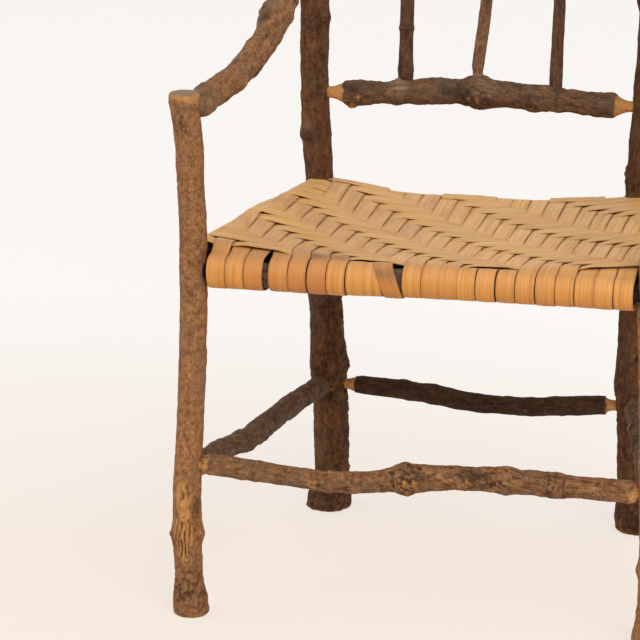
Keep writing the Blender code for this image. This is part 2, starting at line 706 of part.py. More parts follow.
def warp_line(seat, x, middle_x, face, rows):
    """One edge of a warp: face is 1 on the strip's outer side and -1 on its inner side.

    Both edges turn round the rails alike, as the middle of the strip does. A warp that crosses
    all the wefts goes round both rails. A shorter one ends behind the last weft it crosses.
    """
    half = face * SPLINT_THICKNESS / 2
    wrap = WRAP_GAP + SPLINT_THICKNESS / 2 + half
    first = seat.first_y
    last = first + rows * seat.weft_step
    places = [y for y in seat.y_breaks if y < last - FIT_GAP or y == first]
    if rows > 0:
        places.append(last)
    top = [(y, seat.height(x, y) + half) for y in places]
    below = [(y, seat.under_height(y) - half) for y in (first, last)]
    front = around_rail(
        (first - seat.front_y, seat.height(middle_x, first) + half - seat.front_z),
        (first - seat.front_y, below[0][1] - seat.front_z),
        FRONT_RAIL_RADIUS + wrap,
    )
    front_points = [(seat.front_y + inward, seat.front_z + up) for inward, up in reversed(front)]
    if rows < seat.wefts:
        line = [*reversed(below[:1 + (rows > 0)]), *front_points, *top]
        return [Vector((x, y, z)) for y, z in line]
    rear = around_rail(
        (seat.rear_y - last, seat.height(middle_x, last) + half - seat.rear_z),
        (seat.rear_y - last, below[1][1] - seat.rear_z),
        REAR_RAIL_RADIUS + wrap,
    )
    rear_points = [(seat.rear_y - inward, seat.rear_z + up) for inward, up in rear]
    middle = (first + last) / 2
    start = (middle - SPLINT_END_GAP / 2, seat.under_height(middle) - half)
    end = (middle + SPLINT_END_GAP / 2, seat.under_height(middle) - half)
    line = [start, below[0], *front_points, *top, *rear_points, below[1], end]
    return [Vector((x, y, z)) for y, z in line]


def woven_top(seat, weft, y, half):
    """A weft's points across the top, stepping over and under the warps."""
    shift = SPLINT_THICKNESS + WEAVE_GAP
    start, end = seat.weft_span(weft)
    points = []

    def add(x, warp):
        offset = shift if weft_is_over(warp, weft) else -shift
        points.append((x, seat.height(x, y) + offset + half))

    crossed = []
    for warp in range(seat.warps):
        near, far = seat.warp_edges(warp)
        if far > start + SPLINT_SPACING and near < end - SPLINT_SPACING:
            crossed.append(warp)
    add(start, crossed[0])
    for warp in crossed[:-1]:
        leave = seat.warp_edges(warp)[1]
        enter = seat.warp_edges(warp + 1)[0]
        if weft_is_over(warp, weft) != weft_is_over(warp + 1, weft):
            add(leave, warp)
            add(enter, warp + 1)
        elif any(abs(line - (leave + enter) / 2) < FIT_GAP for line in seat.x_breaks):
            add((leave + enter) / 2, warp)
    add(end, crossed[-1])
    return points


def weft_line(seat, weft, y, face):
    """One edge of a weft: face is 1 on the strip's outer side and -1 on its inner side.

    Both edges turn round the side rails alike, as the middle of the strip does.
    """
    half = face * SPLINT_THICKNESS / 2
    wrap = SIDE_RAIL_RADIUS + WRAP_GAP + SPLINT_THICKNESS / 2 + half
    below = seat.under_height(y) - SPLINT_THICKNESS - WEAVE_GAP - half
    top = woven_top(seat, weft, y, half)
    middle_y = sum(seat.weft_edges(weft)) / 2
    middle_top = woven_top(seat, weft, middle_y, half)
    turns = {}
    for (side, sign), corner in zip(SIDES, (middle_top[0], middle_top[-1])):
        inward = -sign * (corner[0] - seat.side_x(side, middle_y))
        turn = around_rail(
            (inward, corner[1] - SIDE_RAIL_HEIGHT),
            (inward, below - SIDE_RAIL_HEIGHT),
            wrap,
        )
        rail_x = seat.side_x(side, y)
        turns[side] = [(rail_x - sign * step, SIDE_RAIL_HEIGHT + up) for step, up in turn]
    middle = (top[0][0] + top[-1][0]) / 2
    line = [
        (middle - SPLINT_END_GAP / 2, below),
        (top[0][0], below),
        *reversed(turns["left"]),
        *top,
        *turns["right"],
        (top[-1][0], below),
        (middle + SPLINT_END_GAP / 2, below),
    ]
    return [Vector((x, y, z)) for x, z in line]


def band(outer_edges, inner_edges):
    """A flat strip from the lines of its outer and inner edges."""
    mesh_data = bmesh.new()
    rings = []
    for corners in zip(outer_edges[0], outer_edges[1], inner_edges[1], inner_edges[0]):
        rings.append([mesh_data.verts.new(corner) for corner in corners])
    join_rings(mesh_data, rings)
    return mesh_data


def make_seat(rails):
    seat = Seat(rails)
    for index in range(seat.warps):
        near, far = seat.warp_edges(index)
        rows = seat.rows_crossed(index)
        middle = (near + far) / 2
        outer = [warp_line(seat, x, middle, 1, rows) for x in (near, far)]
        inner = [warp_line(seat, x, middle, -1, rows) for x in (near, far)]
        add_object(f"warp_splint_{index + 1:02d}", band(outer, inner), SPLINT_HONEY)
    for index in range(seat.wefts):
        near, far = seat.weft_edges(index)
        outer = [weft_line(seat, index, y, 1) for y in (near, far)]
        inner = [weft_line(seat, index, y, -1) for y in (near, far)]
        add_object(f"weft_splint_{index + 1:02d}", band(outer, inner), SPLINT_STRAW)


def centre_on_floor():
    """Moves the whole chair so that the origin is on the floor under the middle of its box."""
    bpy.context.view_layer.update()
    corners = []
    for piece in chair.children:
        if piece.type == "MESH" and not piece.hide_render:
            corners += [vert.co for vert in piece.data.vertices]
    lowest = Vector([min(corner[axis] for corner in corners) for axis in range(3)])
    highest = Vector([max(corner[axis] for corner in corners) for axis in range(3)])
    middle = (lowest + highest) / 2
    chair.location = (-middle.x, -middle.y, -lowest.z)


clear_scene()
chair = bpy.data.objects.new("chair", None)
bpy.context.scene.collection.objects.link(chair)
chair_posts = {}
for post_row in ("front", "rear"):
    for post_side, post_sign in SIDES:
        chair_posts[post_row, post_side] = make_post(post_row, post_side, post_sign)
seat_rails = make_seat_rails(chair_posts)
make_stretchers(chair_posts)
make_arms(chair_posts)
back_bars = make_back(chair_posts)
make_spindles(back_bars)
make_seat(seat_rails)
centre_on_floor()
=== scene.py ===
import math

import bpy
import numpy as np
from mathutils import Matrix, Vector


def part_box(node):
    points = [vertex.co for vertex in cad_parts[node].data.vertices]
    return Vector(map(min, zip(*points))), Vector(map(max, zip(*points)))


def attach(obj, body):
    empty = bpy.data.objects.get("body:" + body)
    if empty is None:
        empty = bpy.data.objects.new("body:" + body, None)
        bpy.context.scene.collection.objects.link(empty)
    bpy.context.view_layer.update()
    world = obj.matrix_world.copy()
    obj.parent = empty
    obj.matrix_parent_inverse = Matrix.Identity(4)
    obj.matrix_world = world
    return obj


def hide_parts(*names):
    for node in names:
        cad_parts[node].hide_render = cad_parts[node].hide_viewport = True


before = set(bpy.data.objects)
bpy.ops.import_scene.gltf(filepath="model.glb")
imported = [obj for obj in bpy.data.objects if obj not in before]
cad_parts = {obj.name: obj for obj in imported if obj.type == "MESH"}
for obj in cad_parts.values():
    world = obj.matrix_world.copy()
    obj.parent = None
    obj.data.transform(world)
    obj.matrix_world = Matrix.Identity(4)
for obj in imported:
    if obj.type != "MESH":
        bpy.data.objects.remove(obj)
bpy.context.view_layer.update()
print("frame loaded:", len(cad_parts), "nodes")


# Noise and easing

noiseHash = {
    "axes": (374761393, 668265263, 2246822519), "seed": 974711, "mix": 1274126177,
    "shifts": (13, 16), "top": 65535,
}
lineAt = (0.37, 0.71)  # where the noise is read on the other two axes for a single line


def cornerValues(cells, seed):
    first, second = (np.uint32(shift) for shift in noiseHash["shifts"])
    mixed = np.uint32(seed * noiseHash["seed"] % 2 ** 32)
    for axis, factor in enumerate(noiseHash["axes"]):
        mixed = mixed + cells[..., axis].astype(np.uint32) * np.uint32(factor)
    mixed = (mixed ^ (mixed >> first)) * np.uint32(noiseHash["mix"])
    mixed = mixed ^ (mixed >> second)
    return (mixed & np.uint32(noiseHash["top"])) / (noiseHash["top"] / 2) - 1


def softNoise(points, seed):  # smooth bumps from -1 to 1, about one for each unit of length
    base = np.floor(points)
    part = points - base
    part = part * part * part * (part * (part * 6 - 15) + 10)
    cells = base.astype(np.int64)
    total = np.zeros(points.shape[:-1])
    for corner in np.ndindex(2, 2, 2):
        weight = np.ones(points.shape[:-1])
        for axis in range(3):
            weight = weight * (part[..., axis] if corner[axis] else 1 - part[..., axis])
        total += weight * cornerValues(cells + np.array(corner), seed)
    return total


def layeredNoise(points, seed, layers):
    total = 0
    for layer in range(layers):
        total = total + softNoise(points * 2 ** layer, seed + 31 * layer) * 0.5 ** layer
    return total


def lineNoise(places, seed):  # the same noise along one line
    others = [np.full_like(places, at) for at in lineAt]
    return softNoise(np.stack([places, *others], axis=-1), seed)


def smoothStep(value, low, high):
    share = np.clip((value - low) / (high - low), 0, 1)
    return share * share * (3 - 2 * share)


def bell(value):
    return np.exp(-value * value)


def smoothed(line, reach):  # keeps both ends where they are
    span = 3 * reach
    window = np.exp(-0.5 * (np.arange(-span, span + 1) / reach) ** 2)
    window /= window.sum()
    head = 2 * line[:1] - line[span:0:-1]
    tail = 2 * line[-1:] - line[-2:-span - 2:-1]
    padded = np.concatenate([head, line, tail])
    return np.stack([np.convolve(column, window, mode="valid") for column in padded.T], axis=1)


def unit(vectors):
    return vectors / np.linalg.norm(vectors, axis=-1, keepdims=True)


def runAlong(line):  # way to each point from the first
    return np.concatenate([[0], np.cumsum(np.linalg.norm(np.diff(line, axis=0), axis=1))])


# Line and thickness of each branch, read from its solid

tracing = {
    "step": 0.005,         # metres between sections
    "edge": 0.0004,        # first section, inside the end face
    "directions": 36,
    "smooth": 3,           # sections
    "kept": 2,             # sections at each end that aren't turned square to the branch
    "near": 2.5,           # radii, so that another bend of the branch isn't in the section
    "cornerShare": 1.012,  # a round branch of the same girth as the solid's corners
}
xAxis, zAxis = np.eye(3)[[0, 2]]


def sectionOf(outline, spot, first, second):
    turns = np.arange(tracing["directions"]) * 2 * math.pi / tracing["directions"]
    ways = np.stack([np.cos(turns), np.sin(turns)])
    flat = np.stack([(outline - spot) @ first, (outline - spot) @ second], axis=1)
    reach = (flat @ ways).max(axis=0)
    shift = 2 * (reach * ways).mean(axis=1)
    return spot + shift[0] * first + shift[1] * second, reach.mean()


def sliceOutline(corners, edges, spot, normal):
    side = (corners - spot) @ normal
    start, end = side[edges[:, 0]], side[edges[:, 1]]
    cut = start * end < 0
    share = (start[cut] / (start[cut] - end[cut]))[:, None]
    return corners[edges[cut, 0]] * (1 - share) + corners[edges[cut, 1]] * share


def traceBranch(node, upright):
    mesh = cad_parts[node].data
    corners = np.array([corner.co for corner in mesh.vertices])
    edges = np.array([edge.vertices for edge in mesh.edges])
    low, high = corners.min(axis=0), corners.max(axis=0)
    long = int(np.argmax(high - low))
    axis = np.eye(3)[long]
    reference = xAxis if upright else zAxis
    count = int((high[long] - low[long]) / tracing["step"])
    line, radius = [], []
    for place in np.linspace(low[long] + tracing["edge"], high[long] - tracing["edge"], count):
        outline = sliceOutline(corners, edges, axis * place, axis)
        spot, size = sectionOf(outline, axis * place, reference, np.cross(axis, reference))
        line.append(spot)
        radius.append(size)
    line, radius = smoothed(np.array(line), tracing["smooth"]), np.array(radius)
    if node.endswith("_post"):
        line[0, 2], line[-1, 2] = low[2], high[2]
    else:  # sections square to a bent branch
        heading = unit(np.gradient(line, axis=0))
        for place in range(tracing["kept"], count - tracing["kept"]):
            first = unit(reference - (reference @ heading[place]) * heading[place])
            outline = sliceOutline(corners, edges, line[place], heading[place])
            away = np.linalg.norm(outline - line[place], axis=1)
            outline = outline[away < tracing["near"] * radius[place]]
            second = np.cross(heading[place], first)
            line[place], radius[place] = sectionOf(outline, line[place], first, second)
        line = smoothed(line, tracing["smooth"])
    run = runAlong(line)
    return {
        "line": line, "radius": radius * tracing["cornerShare"], "run": run, "length": run[-1],
        "upright": upright,
    }


traces = {}
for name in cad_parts:
    if name.endswith("_post") or "spindle" in name:
        traces[name] = traceBranch(name, True)
    elif name.endswith(("_rail", "_stretcher", "_arm", "_crosspiece")):
        traces[name] = traceBranch(name, False)
print("branches traced:", len(traces))


# Material building blocks

def paint(red, green, blue):  # screen colour, 0 to 255
    screen = np.array([red, green, blue]) / 255
    linear = np.where(screen <= 0.04045, screen / 12.92, ((screen + 0.055) / 1.055) ** 2.4)
    return (*(float(part) for part in linear), 1.0)


def paints(palette):
    return {key: paint(*colour) for key, colour in palette.items()}


def newFinish(name):
    finish = bpy.data.materials.new(name)
    finish.use_nodes = True
    return finish, finish.node_tree, finish.node_tree.nodes["Principled BSDF"]


def attributeOf(tree, name, output="Fac"):
    node = tree.nodes.new("ShaderNodeAttribute")
    node.attribute_name = name
    return node.outputs[output]


def noiseOf(tree, vector, sizes, detail, rough):  # sizes of one bump, in metres
    mapping = tree.nodes.new("ShaderNodeMapping")
    mapping.inputs["Scale"].default_value = [1 / size for size in sizes]
    tree.links.new(vector, mapping.inputs["Vector"])
    noise = tree.nodes.new("ShaderNodeTexNoise")
    noise.inputs["Scale"].default_value = 1.0
    noise.inputs["Detail"].default_value = detail
    noise.inputs["Roughness"].default_value = rough
    tree.links.new(mapping.outputs["Vector"], noise.inputs["Vector"])
    return noise.outputs["Fac"]


def rampOf(tree, value, stops):
    node = tree.nodes.new("ShaderNodeValToRGB")
    ramp = node.color_ramp
    while len(ramp.elements) < len(stops):
        ramp.elements.new(0.5)
    for element, (place, colour) in zip(ramp.elements, stops):
        element.position = place
        element.color = colour if isinstance(colour, tuple) else (colour, colour, colour, 1.0)
    tree.links.new(value, node.inputs["Fac"])
    return node.outputs["Color"]


def toneRamp(tree, value, colours, places):  # a ramp through colours that are known by name
    return rampOf(tree, value, [(place, colours[key]) for key, place in places.items()])


def joinSocket(tree, value, socket):
    if isinstance(value, bpy.types.NodeSocket):
        tree.links.new(value, socket)
    else:
        socket.default_value = value


def mixOf(tree, share, base, top, blend="MIX"):
    node = tree.nodes.new("ShaderNodeMix")
    node.data_type = "RGBA"
    node.blend_type = blend
    for number, value in ((0, share), (6, base), (7, top)):  # the sockets for colours
        joinSocket(tree, value, node.inputs[number])
    return node.outputs[2]


def mathOf(tree, operation, *values):
    node = tree.nodes.new("ShaderNodeMath")
    node.operation = operation
    for value, socket in zip(values, node.inputs):
        joinSocket(tree, value, socket)
    return node.outputs[0]


def finishSurface(tree, shader, colour, rough, height, look):
    tree.links.new(colour, shader.inputs["Base Color"])
    tree.links.new(rough, shader.inputs["Roughness"])
    shader.inputs["Specular IOR Level"].default_value = look["shine"]
    bump = tree.nodes.new("ShaderNodeBump")
    bump.inputs["Strength"].default_value = look["bump"]
    bump.inputs["Distance"].default_value = look["bumpHeight"]
    tree.links.new(height, bump.inputs["Height"])
    tree.links.new(bump.outputs["Normal"], shader.inputs["Normal"])


# Bark finishes

bareWood = {"shade": (146, 92, 46), "main": (190, 132, 72), "light": (214, 166, 106)}
sawnEnd = {"dark": (92, 70, 52), "main": (144, 117, 92), "light": (174, 150, 124)}
barkPalettes = {
    "frontPostBark": {
        "deep": (88, 54, 31), "dark": (119, 77, 45), "mid": (153, 104, 64), "light": (184, 136, 90),
        "patch": (132, 96, 67), "knot": (50, 31, 19),
    },
    "armBark": {
        "deep": (58, 37, 23), "dark": (104, 70, 44), "mid": (142, 99, 63), "light": (174, 130, 89),
        "patch": (112, 87, 66), "knot": (46, 30, 20),
    },
    "rearPostBark": {
        "deep": (37, 22, 11), "dark": (67, 40, 21), "mid": (96, 59, 32), "light": (130, 86, 50),
        "patch": (84, 62, 43), "knot": (28, 18, 11),
    },
    "sideStretcherBark": {
        "deep": (42, 29, 19), "dark": (72, 52, 36), "mid": (100, 74, 53), "light": (128, 101, 76),
        "patch": (94, 77, 60), "knot": (34, 24, 17),
    },
    "frontStretcherBark": {
        "deep": (64, 40, 23), "dark": (102, 68, 41), "mid": (136, 94, 59), "light": (174, 129, 86),
        "patch": (108, 83, 61), "knot": (44, 28, 18),
    },
    "rearStretcherBark": {
        "deep": (28, 16, 8), "dark": (46, 28, 15), "mid": (64, 40, 22), "light": (94, 62, 36),
        "patch": (62, 44, 29), "knot": (24, 15, 9),
    },
    "crosspieceBark": {
        "deep": (44, 29, 19), "dark": (78, 53, 35), "mid": (107, 75, 49), "light": (140, 104, 73),
        "patch": (90, 73, 57), "knot": (33, 22, 15),
    },
    "spindleBark": {
        "deep": (46, 28, 19), "dark": (70, 45, 30), "mid": (92, 61, 42), "light": (120, 84, 60),
        "patch": (82, 61, 46), "knot": (34, 21, 14),
    },
    "paleSpindleBark": {
        "deep": (66, 43, 29), "dark": (96, 66, 45), "mid": (124, 87, 60), "light": (152, 112, 80),
        "patch": (110, 84, 63), "knot": (42, 28, 19),
    },
}
barkNoises = {  # size of a bump across, across and along the branch, then detail and roughness
    "streak": ((0.0016, 0.0016, 0.022), 4.0, 0.6),
    "mottle": ((0.007, 0.007, 0.013), 5.0, 0.66),
    "patch": ((0.030, 0.030, 0.060), 3.0, 0.55),
    "speck": ((0.0017, 0.0017, 0.0026), 2.0, 0.5),
    "fleck": ((0.0026, 0.0026, 0.0036), 3.0, 0.6),
    "grain": ((0.0009, 0.0009, 0.030), 4.0, 0.6),
    "rings": ((0.0022, 0.0022, 0.5), 3.0, 0.6),
}
ownNoises = {  # shorter streaks than the other barks have
    "frontPostBark": {
        "streak": ((0.0016, 0.0016, 0.0040), 4.0, 0.6),
        "mottle": ((0.006, 0.006, 0.0075), 5.0, 0.66),
    },
    "armBark": {"streak": ((0.0016, 0.0016, 0.0090), 4.0, 0.6)},
}
barkLook = {
    "streak": 0.40, "fleck": 0.45, "all": 0.54,  # shares of the tone
    "tones": {"deep": 0.30, "dark": 0.42, "mid": 0.53, "light": 0.68},
    "woodTones": {"shade": 0.32, "main": 0.50, "light": 0.70},
    "sawnTones": {"dark": 0.34, "main": 0.52, "light": 0.70},
    "patches": [(0.50, 0.0), (0.64, 0.62)], "specks": [(0.60, 0.0), (0.70, 0.55)],
    "pits": [(0.30, 0.6), (0.40, 0.0)],
    "reliefShade": [(0.15, 0.42), (0.45, 0.92), (0.75, 1.0), (1.0, 1.0)],
    "rough": [(0.3, 0.92), (0.7, 0.74)],
    "shine": 0.22, "bump": 0.55, "bumpHeight": 0.0005,
}


def barkFinish(name):
    look, wood, sawn = paints(barkPalettes[name]), paints(bareWood), paints(sawnEnd)
    finish, tree, shader = newFinish(name)
    space = attributeOf(tree, "grainSpace", "Vector")
    shapes = {**barkNoises, **ownNoises.get(name, {})}
    noise = {key: noiseOf(tree, space, *shape) for key, shape in shapes.items()}
    tone = mathOf(tree, "MULTIPLY_ADD", noise["streak"], barkLook["streak"], noise["mottle"])
    tone = mathOf(tree, "ADD", tone, mathOf(tree, "MULTIPLY", noise["fleck"], barkLook["fleck"]))
    tone = mathOf(tree, "MULTIPLY", tone, barkLook["all"])
    colour = toneRamp(tree, tone, look, barkLook["tones"])
    for source, ramp, top in (
        ("patch", "patches", "patch"), ("speck", "specks", "light"), ("speck", "pits", "deep"),
    ):
        colour = mixOf(tree, rampOf(tree, noise[source], barkLook[ramp]), colour, look[top])
    # painted shade: the relief attribute darkens bark and bare wood in the fissures, cracks and
    # hollows of the bark
    reliefShade = rampOf(tree, attributeOf(tree, "reliefShade"), barkLook["reliefShade"])
    colour = mixOf(tree, 1.0, colour, reliefShade, "MULTIPLY")
    # the dark knot colour, for real knots and as painted shade in cracks, folds, holes, shaded
    # patches and rail ends
    colour = mixOf(tree, attributeOf(tree, "knot"), colour, look["knot"])
    woodColour = toneRamp(tree, noise["grain"], wood, barkLook["woodTones"])
    woodColour = mixOf(tree, 1.0, woodColour, reliefShade, "MULTIPLY")
    colour = mixOf(tree, attributeOf(tree, "bare"), colour, woodColour)
    endColour = toneRamp(tree, noise["rings"], sawn, barkLook["sawnTones"])
    colour = mixOf(tree, attributeOf(tree, "sawn"), colour, endColour)
    rough = rampOf(tree, noise["mottle"], barkLook["rough"])
    height = mathOf(tree, "ADD", noise["streak"], noise["speck"])
    finishSurface(tree, shader, colour, rough, height, barkLook)
    return finish


barkFinishes = {name: barkFinish(name) for name in barkPalettes}
print("bark finishes:", len(barkFinishes))


# Marks on the bark: each is (kind, share of the length, turn in degrees, size, height)
# On a post a turn of 0 faces right and 270 the front. On a lying branch 0 faces up, and 90 the
# front or, on the side pieces, the right.

markOutline = {"uneven": 0.22, "size": 0.006}
thinBark = {
    "stretch": 0.62, "from": 0.5, "to": 1.0, "fleckSizes": (0.0030, 0.0030, 0.0045), "middle": 0.4,
    "fleckWood": 0.85, "mostWood": 0.95, "dark": 0.7, "shadeFrom": 0.38, "shadeTo": 0.65,
}
markLooks = {  # widths and places are shares of a mark's size, and depths of its height
    "bump": {},
    "ring": {
        "wave": 0.25, "waveSize": 0.011, "behind": 0.55, "before": 0.9,
        "crackAt": 0.85, "crackWidth": 0.16, "crackDepth": 0.28, "crackShade": 0.75,
    },
    "eye": {
        "collarWidth": 0.42, "pitDepth": 0.9, "pitWidth": 0.55, "dark": 0.85, "darkWidth": 0.62,
        "wood": 0.22, "woodWidth": 0.32, "woodFrom": -0.3, "woodTo": 0.5,
    },
    "stub": {
        "topFrom": 0.75, "topTo": 1.3, "wood": 0.75, "woodFrom": 0.5, "woodTo": 0.8,
        "dark": 0.6, "darkAt": 1.3, "darkWidth": 0.25,
    },
    "whorl": {
        "ripples": 8.5, "swell": 0.75, "ripple": 0.35, "foldFrom": -0.7, "foldTo": 0.3,
        "dark": 0.95, "wood": 0.10, "woodWidth": 0.22,
    },
    "crackle": {"cellSize": 0.0052, "crest": 0.5, "slope": 2.0, "shade": 0.8, "shadeAt": 0.05},
    "socket": {"from": 1.0, "to": 1.10},
    "worn": {"from": 0.7, "to": 1.15, "wood": 0.8},
    "band": {"ragged": 0.0006, "from": 0.8, "to": 1.1, "wood": 0.85},
    "shade": {"stretch": 0.45},
    "grey": {},
    "speckled": {**thinBark, "wood": -0.26},
    "flecked": {**thinBark, "wood": 0.44},
    "rubbed": {**thinBark, "wood": 0.82, "fleckSizes": (0.0030, 0.0030, 0.0110)},
    "torn": {
        "at": (-1.0, -0.5, 0.3, 1.0), "widths": (0.28, 0.62, 1.0, 0.85), "widest": 0.55,
        "wave": 0.12, "waveSize": 0.010, "ridges": 4.6,
        "frayed": 0.25, "fraySizes": (0.003, 0.003, 0.012),
        "sideFrom": 0.85, "sideTo": 1.1, "endFrom": 0.8, "endTo": 1.0, "sink": 0.2, "shade": 0.5,
        "wood": 0.45, "ridgeWood": 0.6, "mostWood": 0.92,
        "dark": 0.95, "shadeFrom": 0.35, "shadeTo": 0.85,
    },
}


def skinNoise(skin, sizes, offset, layers):
    return layeredNoise(skin["space"] / np.array(sizes), skin["seed"] + offset, layers)


def atLeast(skin, field, values):
    skin[field] = np.maximum(skin[field], values)


def fadeOut(values, low, high):
    return 1 - smoothStep(values, low, high)


def addMark(skin, kind, at, turn, size, height):
    look = markLooks[kind]
    space, seed = skin["space"], skin["seed"]
    away = skin["along"] - at * skin["length"]
    gap = (skin["turn"] - math.radians(turn) + math.pi) % (2 * math.pi) - math.pi
    around = gap * skin["radius"]
    distance = np.hypot(away, around)
    uneven = markOutline["uneven"] * softNoise(space / markOutline["size"], seed + 5)
    warped = distance * (1 + uneven)

    def hump(values, width):
        return bell(values / (look[width] * size))

    def inside(values, start, end):
        return fadeOut(values, look[start] * size, look[end] * size)

    # painted shade: the knot colour in the low parts of ridges and flecks
    def shadeInHollows(folds):
        return look["dark"] * cover * smoothStep(-folds, look["shadeFrom"], look["shadeTo"])

    if kind == "bump":
        skin["lift"] += height * bell(warped / size)
    elif kind == "ring":  # a swollen band with a crack on each side, painted shade in the cracks
        facing = 0.5 + 0.5 * np.cos(gap)
        wavy = away + look["wave"] * size * softNoise(space / look["waveSize"], seed + 7)
        skin["lift"] += height * bell(wavy / size) * (look["behind"] + look["before"] * facing)
        crack = hump(np.abs(wavy) - look["crackAt"] * size, "crackWidth") * facing
        skin["lift"] -= look["crackDepth"] * height * crack
        atLeast(skin, "knot", look["crackShade"] * crack)
    elif kind == "eye":  # a healed knot with a raised collar
        skin["lift"] += height * hump(warped - size, "collarWidth")
        skin["lift"] -= look["pitDepth"] * height * hump(warped, "pitWidth")
        atLeast(skin, "knot", look["dark"] * hump(warped, "darkWidth"))
        rubbed = smoothStep(skin["fine"], look["woodFrom"], look["woodTo"])
        atLeast(skin, "bare", look["wood"] * (hump(warped - size, "woodWidth") * rubbed))
    elif kind == "stub":  # a twig cut off short, painted shade round its foot
        skin["lift"] += height * inside(warped, "topFrom", "topTo")
        atLeast(skin, "bare", look["wood"] * inside(warped, "woodFrom", "woodTo"))
        atLeast(skin, "knot", look["dark"] * hump(warped - look["darkAt"] * size, "darkWidth"))
    elif kind == "whorl":  # ripples under an old twig, painted shade in the folds
        ripple = np.cos(warped / size * look["ripples"])
        cover = bell(warped / size)
        skin["lift"] += height * cover * (look["swell"] + look["ripple"] * ripple)
        below = smoothStep(-away, look["foldFrom"] * size, look["foldTo"] * size)
        atLeast(skin, "knot", look["dark"] * (cover * np.clip(-ripple, 0, 1) * below))
        atLeast(skin, "bare", look["wood"] * hump(warped, "woodWidth"))
    elif kind == "crackle":  # swollen, broken bark, painted shade between its ridges
        cover = bell(distance / size)
        ridges = look["crest"] - np.abs(skinNoise(skin, look["cellSize"], 11, 2)) * look["slope"]
        skin["lift"] += height * cover * ridges
        skin["fine"] += look["shade"] * cover * (ridges - look["shadeAt"])
    elif kind == "socket":  # the drilled hole round a tenon, with painted shade in it
        hole = inside(distance, "from", "to")
        skin["lift"] -= height * hole
        atLeast(skin, "knot", hole)
    elif kind in ("worn", "band"):  # bark rubbed down to the wood, or peeled off all the way round
        outline = warped if kind == "worn" else np.abs(away) + look["ragged"] * skin["fine"]
        cover = inside(outline, "from", "to")
        skin["lift"] -= height * cover
        atLeast(skin, "bare", look["wood"] * cover)
    elif kind == "shade":  # painted shade: a soft darker patch
        atLeast(skin, "knot", height * bell(np.hypot(look["stretch"] * away, around) / size))
    elif kind == "grey":  # weathered grey
        atLeast(skin, "sawn", height * bell(warped / size))
    elif kind == "torn":  # splintered ridges that run together at the lower end
        # painted shade in the furrows between the ridges
        share = away / size
        across = around / (look["widest"] * size * np.interp(share, look["at"], look["widths"]))
        wavy = look["wave"] * softNoise(space / look["waveSize"], seed + 17)
        ridges = np.cos((across + wavy) * look["ridges"] * math.pi)
        frayed = look["frayed"] * skinNoise(skin, look["fraySizes"], 18, 2)
        cover = fadeOut(np.abs(across) + frayed, look["sideFrom"], look["sideTo"])
        cover = cover * fadeOut(np.abs(share) + frayed, look["endFrom"], look["endTo"])
        skin["lift"] += cover * height * (ridges - look["sink"])
        skin["fine"] += look["shade"] * cover * ridges
        shown = np.clip(look["wood"] + look["ridgeWood"] * ridges, 0, look["mostWood"])
        atLeast(skin, "bare", cover * shown)
        atLeast(skin, "knot", shadeInHollows(ridges))
    else:  # speckled, flecked or rubbed: thin bark with the wood showing through
        # painted shade in the low parts of the flecks
        outline = np.hypot(look["stretch"] * away, around) * warped / (distance + 1e-6)
        cover = inside(outline, "from", "to")
        flecks = skinNoise(skin, look["fleckSizes"], 13, 3)
        skin["lift"] += cover * height * (flecks - look["middle"])
        shown = np.clip(look["wood"] + look["fleckWood"] * flecks, 0, look["mostWood"])
        atLeast(skin, "bare", cover * shown)
        atLeast(skin, "knot", shadeInHollows(flecks))


# Bark relief of each kind of branch: heights in metres, and how strongly the finish paints its
# hollows in shade

barkHeights = ("wander", "lumps", "fissure", "wrinkle", "grit", "reliefShadeStrength")
barkKinds = {  # the same six for each
    "fine": (0.0009, 0.0005, 0.00005, 0.00012, 0.00026, 0.65),
    "smooth": (0.0014, 0.0008, 0.00018, 0.00024, 0.00024, 0.55),
    "plain": (0.0011, 0.0007, 0.00035, 0.00012, 0.00022, 0.9),
    "ribbed": (0.0010, 0.0006, 0.00060, 0.00010, 0.00020, 0.9),
    "wrinkled": (0.0012, 0.0008, 0.00030, 0.00060, 0.00024, 0.9),
    "knobbly": (0.0015, 0.0013, 0.00040, 0.00030, 0.00028, 0.9),
    "twig": (0.0005, 0.0003, 0.00020, 0.00008, 0.00012, 0.9),
}
barkShapes = {
    "wanderSize": 0.045, "lumpSize": 0.015, "ribSizes": (0.0042, 0.0042, 0.034),
    "wrinkleSizes": (0.020, 0.020, 0.0046), "gritSize": 0.0034,
    "crackWidth": 0.16, "ribHeight": 0.7, "crackDepth": 0.9, "ribShade": 0.6, "lumpShade": 0.28,
}
corkLook = {"size": 0.0062, "fade": 0.08, "round": 0.62, "facing": 0.38, "shade": 0.45}


